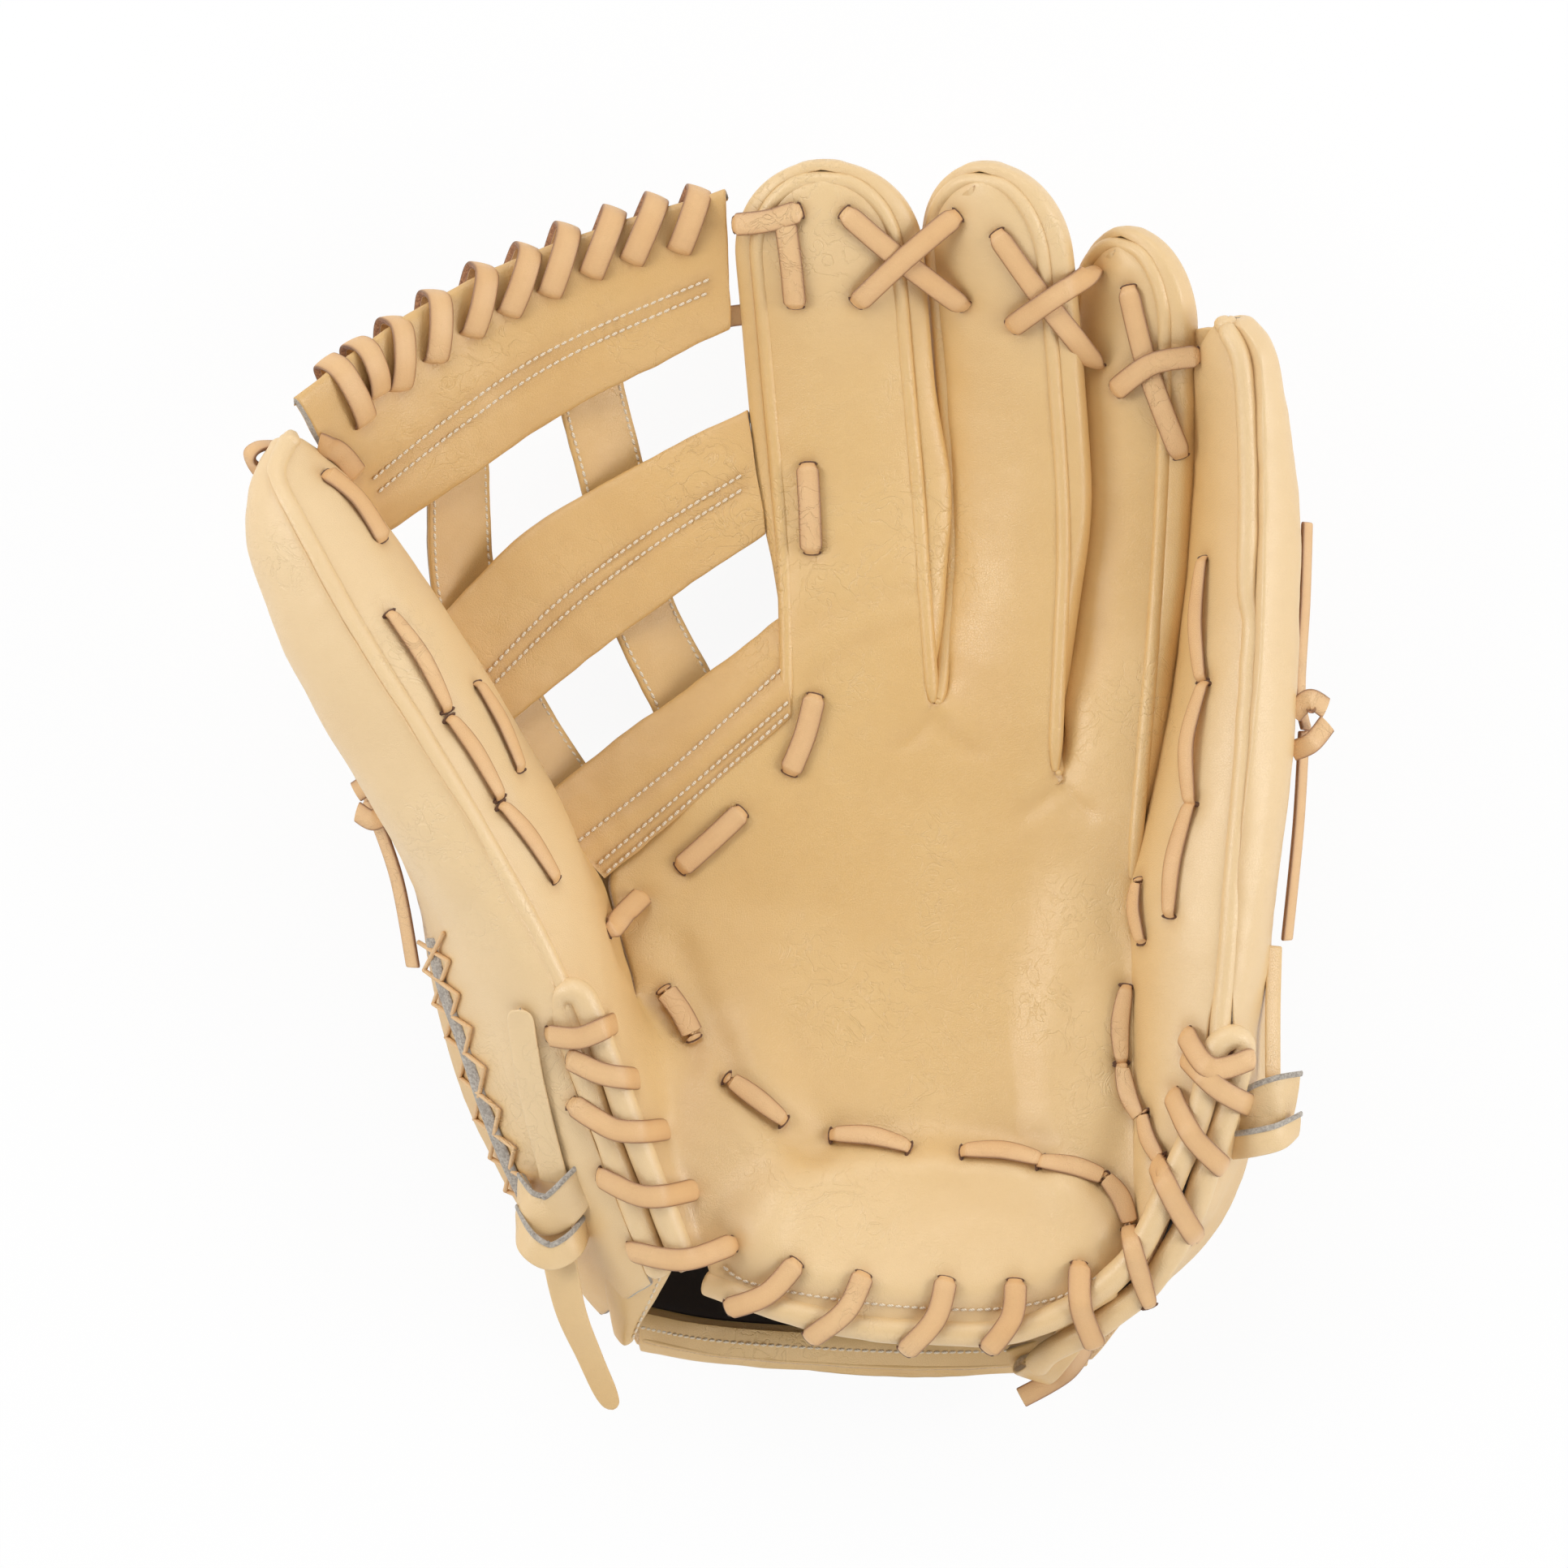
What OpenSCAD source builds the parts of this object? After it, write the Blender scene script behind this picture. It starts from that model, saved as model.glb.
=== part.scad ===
// Baseball glove for a right-hand thrower, outfield pattern with an H web, lying on its back.
// X runs from the thumb to the little finger, Y from the heel to the fingertips, Z up out of the palm.

/* [Leather] */
// Thickness of the palm, thumb and pinky front leather
front_t = 3; // [2.4:0.1:3.6]
// Thickness of the back leathers
back_t = 2.2; // [1.6:0.1:2.8]
// Thickness of the lining leather
lining_t = 1.2; // [0.8:0.1:1.6]
// Thickness of the felt pad behind the palm
pad_t = 4.5; // [3:0.5:6]
// Thickness of the felt stays in the thumb and pinky
stay_t = 3; // [2:0.5:4]
// Gap between neighbouring pieces
gap = 0.4; // [0.3:0.05:0.6]

/* [Fingers] */
// Length of the index stall from its crotch to its tip
index_len = 143; // [136:1:150]
// Length of the middle stall
middle_len = 150; // [143:1:156]
// Length of the ring stall
ring_len = 157; // [150:1:162]
// Width of the index front between its seams
index_w = 37.5; // [35:0.5:38.5]
// Width of the middle front between its seams
middle_w = 33; // [31:0.5:34]
// Width of the ring front between its seams
ring_w = 29; // [27:0.5:30]
// Depth of a stall behind its widest line
stall_depth = 11; // [9:0.5:12]
// Crown of a finger front over its seams
finger_crown = 3; // [2:0.5:4]
// Pocket depth pressed into the palm
pocket = 9; // [6:0.5:12]

/* [Seams and edges] */
// Diameter of the welt cord in the seams
welt_d = 2.6; // [2:0.1:3]
// Diameter of the rolled heel edges
roll_d = 7; // [6:0.25:7.5]
// Width of the raw edge strip on the thumb back
edge_w = 5; // [4:0.5:6]

/* [Laces] */
// Width of the rawhide lace
lace_w = 6; // [5:0.25:7]
// Thickness of the rawhide lace
lace_t = 1.6; // [1.2:0.1:2]
// Number of whip loops on the web's upper edge
whip_count = 10; // [8:1:10]
// Width of the strap thong
thong_w = 10.5; // [9:0.5:12]
// Thickness of the strap thong
thong_t = 2.4; // [2:0.1:2.8]

/* [Web and strap] */
// Thickness of the folded web bars
bar_t = 4; // [3:0.25:5]
// Width of the web posts
post_w = 20; // [17:0.5:22]
// Thickness of the web posts
post_t = 3; // [2.4:0.1:3.5]
// Thickness of the wrist strap
strap_t = 2.6; // [2:0.1:3.2]

/* [Hidden] */

welt_r = welt_d / 2;
roll_r = roll_d / 2;
seam_in = welt_r + gap;
// Distance from a seam to the edge of the back leather
back_in = seam_in + 0.5;
// Clear distance on each side of the two fold lines
fold_gap = 0.6;
// How far the front seam stays inside the stall's tip
tip_in = 3.5;
// Radius of a stall's rounded tip
tip_r = 20;
// How far a stall swells outside its seams on the web side and on the pinky side
swell = [[6, 6], [2, 6], [2, 5.5]];
// Drop from the front seam to the widest line of a stall
seam_drop = 4;
// Squareness of a stall's section
sq = 0.8;

camel = [0.84, 0.66, 0.42];
tan_lace = [0.80, 0.60, 0.47];
suede = [0.62, 0.58, 0.52];
felt = [0.85, 0.83, 0.78];
dark = [0.20, 0.14, 0.11];

// Fold lines of the thumb and pinky, heel end first
thumb_axis = [[-20.5, -127, 56], [-47.5, -25.5, 36]];
pinky_axis = [[92.5, -127, 57], [92, -25, 47]];
// Crotch points between the stalls, from the web side to the pinky side
crotch = [[0, 18.5, 36], [40, 22, 37.5], [72, 3.5, 43], pinky_axis[1] - [fold_gap, 0, 0]];
// Drift and rise of each stall's centre line over its length
drift = [[0, -2.3, -6.5, -10.5], [0, 3, 0, -5], [0, 4.5, 7, 6.5]];
rise = [[0, 1, 9, 27], [0, -1, 6, 25], [0, -11, -7, 12]];
finger_roll = [4, 24, 38];
finger_len = [index_len, middle_len, ring_len];
finger_w = [index_w, middle_w, ring_w];
// Heel edge of the palm between the two fold lines
heel = [
    thumb_axis[0] + [fold_gap, 0, 0], [0, -134, 61], [20, -138.5, 61], [39, -140, 60],
    [62, -140, 60], [80, -135, 60], pinky_axis[0] - [fold_gap, 0, 0]
];

function mix(a, b, t) = a + (b - a) * t;
function unit(v) = v / norm(v);
function soft(t) = let (c = min(max(t, 0), 1)) c * c * (3 - 2 * c);
function spow(x, e) = sign(x) * pow(abs(x), e);
function flat(list) = [for (row = list) each row];
// Smooth curve through the points p, for t from 0 to 1
function spline(p, t) =
    let (n = len(p) - 1, x = min(max(t, 0), 1) * n, i = min(floor(x), n - 1), f = x - i)
    let (a = p[max(i - 1, 0)], b = p[i], c = p[i + 1], d = p[min(i + 2, n)])
    0.5 * (2 * b + (c - a) * f + (2 * a - 5 * b + 4 * c - d) * f * f + (3 * b - a - 3 * c + d) * f * f * f);
// Half-round end of length r on a strip of length l
function cap(s, l, r) = s <= l - r ? 1 : s >= l ? 0 : sqrt(1 - pow((s - l + r) / r, 2));

// Palm surface: u from 0 to 3 across the three stalls, v from the heel to the crotches
web_turn = 0.62;
function palm_top(u) = let (i = min(floor(u), 2)) mix(crotch[i], crotch[i + 1], u - i);
function palm_left(v) =
    let (foot = thumb_axis[1] + [fold_gap, 0, 0])
    v < web_turn ? mix(heel[0], foot, v / web_turn) : mix(foot, crotch[0], (v - web_turn) / (1 - web_turn));
function palm_right(v) = mix(heel[6], crotch[3], v);
function palm_pt(u, v) =
    let (t = u / 3)
    let (rule_v = mix(spline(heel, t), palm_top(u), v))
    let (rule_u = mix(palm_left(v), palm_right(v), t))
    let (corners = mix(mix(heel[0], heel[6], t), mix(crotch[0], crotch[3], t), v))
    rule_v + rule_u - corners - [0, 0, pocket * 16 * t * (1 - t) * v * (1 - v)];

// Finger surfaces: i is the stall, s the distance from its crotch
function stall_base(i) = (crotch[i] + crotch[i + 1]) / 2;
function stall_mid(i, s) =
    let (f = s / finger_len[i])
    stall_base(i) + [spline(drift[i], f), s, spline(rise[i], f)];
function stall_dir(i, s) = unit(stall_mid(i, min(s + 1, finger_len[i])) - stall_mid(i, max(s - 1, 0)));
function stall_across(i, s) =
    let (t = stall_dir(i, s), w = unit([1, 0, 0] - t * t[0]), n = cross(w, t))
    w * cos(finger_roll[i]) + n * sin(finger_roll[i]);
function seam_half(i, s, in) = (finger_w[i] / 2 - in) * cap(s, finger_len[i] - tip_in - in, tip_r - in);
// Front seam of a stall, side -1 or 1, pulled in by a margin
function seam(i, side, s, in) =
    let (k = soft(s / (0.3 * finger_len[i])), start = crotch[i + (side + 1) / 2])
    let (far = stall_mid(i, s) + side * stall_across(i, s) * seam_half(i, s, in))
    mix(start - side * unit(crotch[i + 1] - crotch[i]) * in * soft(s / 8), far, k);
function finger_pt(i, u, s, in = 0) =
    let (a = seam(i, -1, s, in), b = seam(i, 1, s, in))
    let (n = unit(cross(stall_across(i, s), stall_dir(i, s))))
    let (crown = finger_crown * soft(s / 40) * cap(s, finger_len[i] - tip_in, tip_r))
    mix(a, b, u) + n * crown * (1 - pow(abs(2 * u - 1), 2.4));

// Rails of the thumb and pinky walls from the heel to the tip, left rail first
thumb_ridge = [
    [-28.5, -129, 66], [-42.5, -92, 76], [-56, -55, 86], [-72.5, -23, 92], [-93.5, 11.5, 95],
    [-112.5, 42, 95], [-127, 68.5, 92], [-131.5, 80, 87], [-125.5, 89, 80]
];
thumb_free = [[-78, 19, 42], [-96, 48, 47], [-109, 70, 55], [-117, 81, 65], [-125.5, 89, 78]];
pinky_free = [[105, 25, 36], [112, 67, 33], [113, 94, 40], [113.5, 111, 53], [116, 120.5, 66]];
// Part of a wall's length that runs along its fold line
fold_part = 0.375;
function low_rail(axis, free, v) =
    v < fold_part ? mix(axis[0], axis[1], v / fold_part)
    : spline(concat([axis[1]], free), (v - fold_part) / (1 - fold_part));
pinky_ridge = [
    [94.5, -133, 62], [108, -100.5, 68], [114.5, -61, 72], [118, -24, 72], [121.5, 24.5, 69],
    [123, 66.5, 67], [122.5, 94, 69], [120.5, 112, 71], [116, 120.5, 69]
];
// Left rail, right rail and crown of each front wall
thumb_wall = [
    function(v) spline(thumb_ridge, v), function(v) low_rail(thumb_axis, thumb_free, v), [1, 2, 4, 8, 12, 12, 9, 4, 1]
];
pinky_wall = [
    function(v) low_rail(pinky_axis, pinky_free, v), function(v) spline(pinky_ridge, v), [0.5, 2, 4, 5, 5, 4, 3, 2, 1]
];
// Left rail, right rail, depth and swell of each back wall
thumb_out = [-5.6, -2, -4.2];
pinky_out = [5.2, -3.5, -3.6];
thumb_rear_low = concat([[-47.5, -141, 32], [-70, -107, 27], [-84, -62, 27], [-80, -20, 24]], thumb_free);
pinky_rear_low = concat([[100, -145, 34], [120, -112, 26], [125, -66, 20], [113, -22, 16]], pinky_free);
// A back wall starts from the second roll at the heel and from the welt above it
function rear_ridge(ridge, out, v) = spline(ridge, v) + unit(out) * (roll_d + gap) * (1 - soft((v - 0.27) / 0.06));
thumb_rear = [
    function(v) rear_ridge(thumb_ridge, thumb_out, v), function(v) spline(thumb_rear_low, v),
    [2, 4, 6, 15, 26, 25, 20, 12, 6], [0.3, 0.3, 0.3, 1, 2, 2, 2, 1.5, 1]
];
pinky_rear = [
    function(v) spline(pinky_rear_low, v), function(v) rear_ridge(pinky_ridge, pinky_out, v),
    [2, 4, 7, 14, 20, 18, 14, 9, 5], [0.3, 0.3, 0.3, 1.5, 4, 5, 4, 3, 1.5]
];
function wall_mid(w, v) = (w[0](v) + w[1](v)) / 2;
function wall_dir(w, v) = unit(wall_mid(w, min(v + 0.03, 1)) - wall_mid(w, max(v - 0.03, 0)));
function wall_pt(w, u, v) =
    let (a = w[0](v), b = w[1](v), n = unit(cross(b - a, wall_dir(w, v))))
    mix(a, b, u) + n * spline(w[2], v) * (1 - pow(abs(2 * u - 1), 2.2));
// Room that a wall leaves along its ridge for the roll at the heel and the welt above it
function ridge_in(v) = mix(roll_r, welt_r, soft((v - 0.265) / 0.05)) + gap;
function wall_span(w, v) = norm(w[1](v) - w[0](v));

// Point on the outside of a stall at angle a: 0 is its right side, -90 its back, -180 its left side
function round_at(m, w, h, n, sl, sr, depth, drop, a) =
    let (right = cos(a) > 0, half = h + (right ? sr : sl))
    let (up = drop / pow(sin(max(acos(pow(h / half, 1 / sq)), 4)), sq))
    m + w * half * spow(cos(a), sq) + n * ((sin(a) > 0 ? up : depth) * spow(sin(a), sq) - drop);
// First angle, counted from a seam, whose point lies the margin away from that seam
function edge_angle(m, w, h, n, sl, sr, depth, drop, in, side) =
    let (half = h + (side > 0 ? sr : sl), start = acos(pow(h / half, 1 / sq)))
    let (seam_pt = m + w * side * h)
    let (turns = [for (d = [0 : 1 : 80]) side > 0 ? start - d : -180 - start + d])
    let (far = [for (a = turns) if (norm(round_at(m, w, h, n, sl, sr, depth, drop, a) - seam_pt) >= in) a])
    in <= 0 || len(far) == 0 ? turns[0] : far[0];
// A row of a back leather, from the right seam round the back to the left seam
function round_row(m, w, h, n, sl, sr, depth, drop, in_l, in_r, c) =
    let (a0 = edge_angle(m, w, h, n, sl, sr, depth, drop, in_r, 1))
    let (a1 = edge_angle(m, w, h, n, sl, sr, depth, drop, in_l, -1))
    [for (j = [0 : c]) round_at(m, w, h, n, sl, sr, depth, drop, mix(a0, a1, j / c))];
// Depth of the finger backs at the knuckles
knuckle_depth = [27, 29, 32];
function finger_back_row(i, s, c) =
    let (l = finger_len[i], grow = soft((s - 0.1 * l) / (0.35 * l)), tip = cap(s, l, tip_r + 5))
    let (a = seam(i, -1, s, 0), b = seam(i, 1, s, 0), k = soft(s / (0.3 * l)))
    let (across = unit(mix(unit(crotch[i + 1] - crotch[i]), stall_across(i, s), k)))
    let (n = unit(cross(across, stall_dir(i, s))), z = mix(0.35, 1, tip))
    let (h = max(norm(b - a) / 2 - 1.6 * (1 - k), 0), more = max(tip * finger_w[i] / 2 - h, 0))
    let (round = asin(min(max((s - l + tip_in + tip_r) / tip_r, 0), 0.97)), slope = tan(round) * finger_w[i] / 2 / tip_r)
    let (open = s < l - tip_in + seam_in ? (back_in + 1.5 * (1 - k)) * sqrt(1 + slope * slope) : gap)
    round_row((a + b) / 2, across, h, n, more + max(swell[i][0] * grow * tip, 0.3),
        more + max(swell[i][1] * grow * tip, 0.3), mix(knuckle_depth[i], stall_depth, soft(s / (0.25 * l))) * z,
        seam_drop * z, open, open, c);
function wall_back_row(w, v, in_l, in_r, c) =
    let (a = w[0](v), b = w[1](v), n = unit(cross(b - a, wall_dir(w, v))))
    let (side = max(spline(w[3], v), 0.2))
    round_row((a + b) / 2, unit(b - a), norm(b - a) / 2, n, side, side, spline(w[2], v), min(2, side), in_l, in_r, c);

// Surface through a net of points
function net_pt(g, u, v) = spline([for (row = g) spline(row, u)], v);
function net_grid(g, r, c, u0 = 0, u1 = 1, v0 = 0, v1 = 1) =
    [for (i = [0 : r]) [for (j = [0 : c]) net_pt(g, mix(u0, u1, j / c), mix(v0, v1, i / r))]];

// Knuckle panel, wrist strap and web bars, rows from the wrist towards the tips
knuckle_net = [
    [[-62, -64, 16], [-28, -70, -1], [25, -72, -5], [75, -70, -2], [106, -64, 15]],
    [[-62, -36, 15], [-25, -36, -2], [25, -36, -5], [75, -38, -3], [99, -40, 12]],
    [[-46, 2, 18], [-14, 18, 13], [20, 32, 12], [60, 32, 14], [90, 18, 16]]
];
strap_net = [
    [[-40, -149, 32], [-20, -154, 12], [12, -157, 2], [42, -158, 1], [72, -156, 12], [94, -151, 34]],
    [[-55, -121, 25], [-25, -128, 4], [10, -130, -4], [45, -131, -4], [85, -128, 4], [110, -121, 25]],
    [[-66, -90, 22], [-30, -100, 2], [10, -104, -4], [45, -104, -4], [90, -100, 2], [116, -88, 19]]
];
// The back of the hand lies flat on the table where its net dips below it
function laid(g) = [for (row = g) [for (j = [len(row) - 1 : -1 : 0]) [row[j][0], row[j][1], max(row[j][2], 0)]]];
top_bar_net = [
    [[-102, 78, 62], [-84, 80, 48], [-57, 97.5, 42], [-16, 119.5, 42]],
    [[-118, 101, 80], [-95, 122.5, 62], [-61, 140.5, 52], [-18, 155.5, 52]]
];
middle_bar_net = [
    [[-66, 22, 38], [-52, 31, 35], [-29.5, 48.5, 33], [-8.5, 64, 34]],
    [[-84, 50, 43], [-70, 64, 40], [-44.5, 80.5, 37], [-14.5, 97, 37]]
];
low_bar_net = [
    [[-44, -18.5, 35], [-35, -11, 33.5], [-18.5, 2.5, 33], [-5, 16, 34.5]],
    [[-58, 2, 35], [-42.5, 13, 32], [-23, 27, 31], [-6.5, 41, 33]]
];
bar_nets = [top_bar_net, middle_bar_net, low_bar_net];

// Outward normals of a grid of points
function grid_normals(g) =
    let (r = len(g) - 1, c = len(g[0]) - 1)
    [for (i = [0 : r]) [for (j = [0 : c])
        unit(cross(g[i][min(j + 1, c)] - g[i][max(j - 1, 0)], g[min(i + 1, r)][j] - g[max(i - 1, 0)][j]))]];
function lift(g, n, d) = [for (i = [0 : len(g) - 1]) [for (j = [0 : len(g[0]) - 1]) g[i][j] + n[i][j] * d]];

// Faces of a sheet whose top grid starts at point t and bottom grid at point b; e opens or closes its edges
function sheet_faces(t, b, r, c, e) = concat(
    [for (i = [0 : r - 2], j = [0 : c - 2]) each
        let (p = t + i * c + j)
        [[p, p + c, p + c + 1], [p, p + c + 1, p + 1]]],
    [for (i = [0 : r - 2], j = [0 : c - 2]) each
        let (p = b + i * c + j)
        [[p, p + c + 1, p + c], [p, p + 1, p + c + 1]]],
    e[0] ? [for (j = [0 : c - 2]) each wall_faces(t + j, t + j + 1, b + j, b + j + 1)] : [],
    e[1] ? [for (j = [0 : c - 2]) each
        let (q = (r - 1) * c + j) wall_faces(t + q + 1, t + q, b + q + 1, b + q)] : [],
    e[2] ? [for (i = [0 : r - 2]) each
        wall_faces(t + (i + 1) * c, t + i * c, b + (i + 1) * c, b + i * c)] : [],
    e[3] ? [for (i = [0 : r - 2]) each
        let (q = i * c + c - 1) wall_faces(t + q, t + q + c, b + q, b + q + c)] : []
);
function wall_faces(p, q, pb, qb) = [[p, q, qb], [p, qb, pb]];

// Solid between two grids
module skin(top, bottom) {
    r = len(top);
    c = len(top[0]);
    polyhedron(concat(flat(top), flat(bottom)), sheet_faces(0, r * c, r, c, [1, 1, 1, 1]), convexity = 6);
}
// Sheet of leather that starts d below a surface grid and is t thick
module hide(g, d, t) {
    n = grid_normals(g);
    skin(lift(g, n, -d), lift(g, n, -d - t));
}

// Rows of a finger front: even steps, then steps round the tip
cols = 6;
function front_rows(l, r) = concat([for (k = [0 : 8]) (l - r) * k / 8], [for (a = [24, 46, 64, 78]) l - r + r * sin(a)]);
function finger_grid(i) =
    [for (s = front_rows(finger_len[i] - tip_in - seam_in, tip_r - seam_in))
        [for (j = [0 : cols]) finger_pt(i, j / cols, s, seam_in)]];
palm_grid = [for (k = [0 : 10]) [for (j = [0 : 3 * cols]) palm_pt(j / cols, k / 10)]];

// Palm leather with the index, middle and ring fronts
module palm_shell() {
    pn = grid_normals(palm_grid);
    under = lift(palm_grid, pn, -front_t);
    tops = [for (i = [0 : 2]) finger_grid(i)];
    unders = [for (i = [0 : 2])
        let (g = tops[i], n = grid_normals(g), last = len(g) - 1)
        [for (k = [0 : last]) [for (j = [0 : cols])
            let (skive = j == 0 || j == cols || k == last ? 0.4 : 1)
            k > 0 ? g[k][j] - n[k][j] * front_t * skive : under[10][i * cols + j]]]];
    pc = 3 * cols + 1;
    rows = len(tops[0]);
    size = rows * (cols + 1);
    base = 2 * 11 * pc;
    points = concat(flat(palm_grid), flat(under), [for (i = [0 : 2]) each concat(flat(tops[i]), flat(unders[i]))]);
    faces = concat(
        sheet_faces(0, 11 * pc, 11, pc, [1, 0, 1, 1]),
        [for (i = [0 : 2]) each
            sheet_faces(base + 2 * i * size, base + (2 * i + 1) * size, rows, cols + 1, [0, 1, 1, 1])]
    );
    color(camel)
        polyhedron(points, faces, convexity = 8);
}

// Back leather of one finger, from seam to seam round the back
back_cols = 10;
// Parts of their lengths where the back leathers and the welts start
back_from = [0.12, 0.18, 0.24];
welt_from = [0.16, 0.16, 0.28];
function back_rows(l, r, from) = concat([for (k = [0 : 7]) mix(from * l, l - r, k / 7)],
    [for (a = [22, 42, 60, 74, 84]) l - r + r * sin(a)]);
module finger_back(i) {
    g = [for (s = back_rows(finger_len[i], tip_r + 5, back_from[i])) finger_back_row(i, s, back_cols)];
    n = grid_normals(g);
    last = len(g) - 1;
    under = [for (k = [0 : last]) [for (j = [0 : back_cols])
        g[k][j] - n[k][j] * back_t * (k < last - 1 ? 1 : k == last ? 0.2 : 0.6)]];
    color(camel)
        skin(g, under);
}
module index_back() {
    finger_back(0);
}
module middle_back() {
    finger_back(1);
}
module ring_back() {
    finger_back(2);
}

// Round cord along a route
module cord(p, r, sides) {
    n = len(p) - 1;
    dir = [for (k = [0 : n]) unit(p[min(k + 1, n)] - p[max(k - 1, 0)])];
    rings = [for (k = [0 : n])
        let (a = unit(cross(dir[k], abs(dir[k][2]) < 0.8 ? [0, 0, 1] : [1, 0, 0])), b = cross(a, dir[k]))
        [for (j = [0 : sides - 1]) p[k] + r * (a * cos(360 * j / sides) + b * sin(360 * j / sides))]];
    faces = concat(
        [for (k = [0 : n - 1], j = [0 : sides - 1]) each
            let (q = (j + 1) % sides, o = k * sides)
            [[o + j, o + q, o + q + sides], [o + j, o + q + sides, o + j + sides]]],
        [for (j = [1 : sides - 2]) [0, j + 1, j]],
        [for (j = [1 : sides - 2]) [n * sides, n * sides + j, n * sides + j + 1]]
    );
    polyhedron(flat(rings), faces, convexity = 8);
}

// Welt cord round one finger front
module finger_welt(i) {
    l = finger_len[i];
    r = tip_r;
    up = concat([for (k = [0 : 7]) mix(welt_from[i] * l, l - tip_in - r, k / 7)],
        [for (a = [24, 46, 64, 80]) l - tip_in - r + r * sin(a)]);
    n = len(up) - 1;
    color(camel)
        cord(concat([for (k = [0 : n]) seam(i, -1, up[k], 0)], [for (k = [n : -1 : 0]) seam(i, 1, up[k], 0)]), welt_r, 6);
}
module index_welt() {
    finger_welt(0);
}
module middle_welt() {
    finger_welt(1);
}
module ring_welt() {
    finger_welt(2);
}

// Front and back leathers of the thumb and pinky
wall_rows = 18;
function wall_grid(w, in_l, in_r, c, v0, v1) =
    [for (k = [0 : wall_rows])
        let (v = mix(v0, v1, k / wall_rows), d = wall_span(w, v))
        [for (j = [0 : c]) wall_pt(w, mix(in_l(v) / d, 1 - in_r(v) / d, j / c), v)]];
module thumb_front() {
    color(camel)
        hide(wall_grid(thumb_wall, function(v) ridge_in(v), function(v) fold_gap, 8, 0.01, 0.975), 0, front_t);
}
module pinky_front() {
    color(camel)
        hide(wall_grid(pinky_wall, function(v) fold_gap, function(v) ridge_in(v), 8, 0.03, 0.975), 0, front_t);
}
module wall_back(w, in_l, in_r) {
    color(camel)
        hide([for (k = [0 : wall_rows])
            let (v = 0.97 * k / wall_rows) wall_back_row(w, v, in_l(v), in_r(v), back_cols)], 0, back_t);
}
// Clear of the front leather along the low edge
low_in = back_t + 0.4;
module thumb_back() {
    wall_back(thumb_rear, function(v) ridge_in(v) + 1, function(v) low_in);
}
module pinky_back() {
    wall_back(pinky_rear, function(v) low_in, function(v) ridge_in(v) + 1);
}
module thumb_welt() {
    color(camel)
        cord([for (k = [0 : 18]) spline(thumb_ridge, mix(0.3, 0.985, k / 18))], welt_r, 6);
}
module pinky_welt() {
    color(camel)
        cord([for (k = [0 : 18]) spline(pinky_ridge, mix(0.3, 0.985, k / 18))], welt_r, 6);
}

// Rolled edges along the heel
module palm_roll() {
    color(camel)
        cord([for (k = [0 : 16]) spline(heel, mix(0.02, 0.98, k / 16)) + [0, -roll_r - gap - 0.8, -1]], roll_r, 8);
}
module thumb_rolls() {
    color(camel)
        for (o = [0, roll_d + gap])
            cord([for (k = [0 : 12]) spline(thumb_ridge, mix(0, 0.26, k / 12)) + unit(thumb_out) * o], roll_r, 8);
}
module pinky_rolls() {
    color(camel)
        for (o = [0, roll_d + gap])
            cord([for (k = [0 : 12]) spline(pinky_ridge, mix(0.01, 0.26, k / 12)) + unit(pinky_out) * o], roll_r, 8);
}

// Felt and lining behind the palm, stays in the thumb and pinky
module palm_pad() {
    color(felt)
        hide([for (k = [1 : 9]) [for (j = [1 : 3 * cols - 1]) palm_grid[k][j]]], front_t + gap, pad_t);
}
module palm_lining() {
    color(dark)
        hide([for (k = [1 : 9]) [for (j = [1 : 3 * cols - 1]) palm_grid[k][j]]], front_t + pad_t + 2 * gap, lining_t);
}
module thumb_stay() {
    color(felt)
        hide(wall_grid(thumb_wall, function(v) 9, function(v) 8, 5, 0.42, 0.82), front_t + gap, stay_t);
}
module pinky_stay() {
    color(felt)
        hide(wall_grid(pinky_wall, function(v) 7, function(v) 8, 5, 0.42, 0.82), front_t + gap, stay_t);
}

// Back of the hand
module knuckle_panel() {
    color(camel)
        hide(laid(net_grid(knuckle_net, 8, 14)), 0, back_t);
}
strap_grid = laid(net_grid(strap_net, 6, 18));
module wrist_strap() {
    color(camel)
        hide(strap_grid, 0, strap_t);
}
module strap_lining() {
    color(dark)
        hide([for (k = [1 : 6]) [for (j = [1 : 17]) strap_grid[k][j]]], strap_t + gap, lining_t);
}

// Web
module web_bar(g) {
    color(camel)
        hide(net_grid(g, 4, 10), 0, bar_t);
}
module web_top_bar() {
    web_bar(top_bar_net);
}
module web_middle_bar() {
    web_bar(middle_bar_net);
}
module web_low_bar() {
    web_bar(low_bar_net);
}

// Flat lace along a route, with its face turned to the up directions
module band(p, up, w, t) {
    n = len(p) - 1;
    dir = [for (k = [0 : n]) unit(p[min(k + 1, n)] - p[max(k - 1, 0)])];
    side = [for (k = [0 : n]) unit(cross(dir[k], up[k]))];
    face = [for (k = [0 : n]) cross(side[k], dir[k])];
    skin([for (k = [0 : n]) [for (j = [-1, 1]) p[k] + side[k] * j * w / 2 + face[k] * t / 2]],
        [for (k = [0 : n]) [for (j = [-1, 1]) p[k] + side[k] * j * w / 2 - face[k] * t / 2]]);
}

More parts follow.
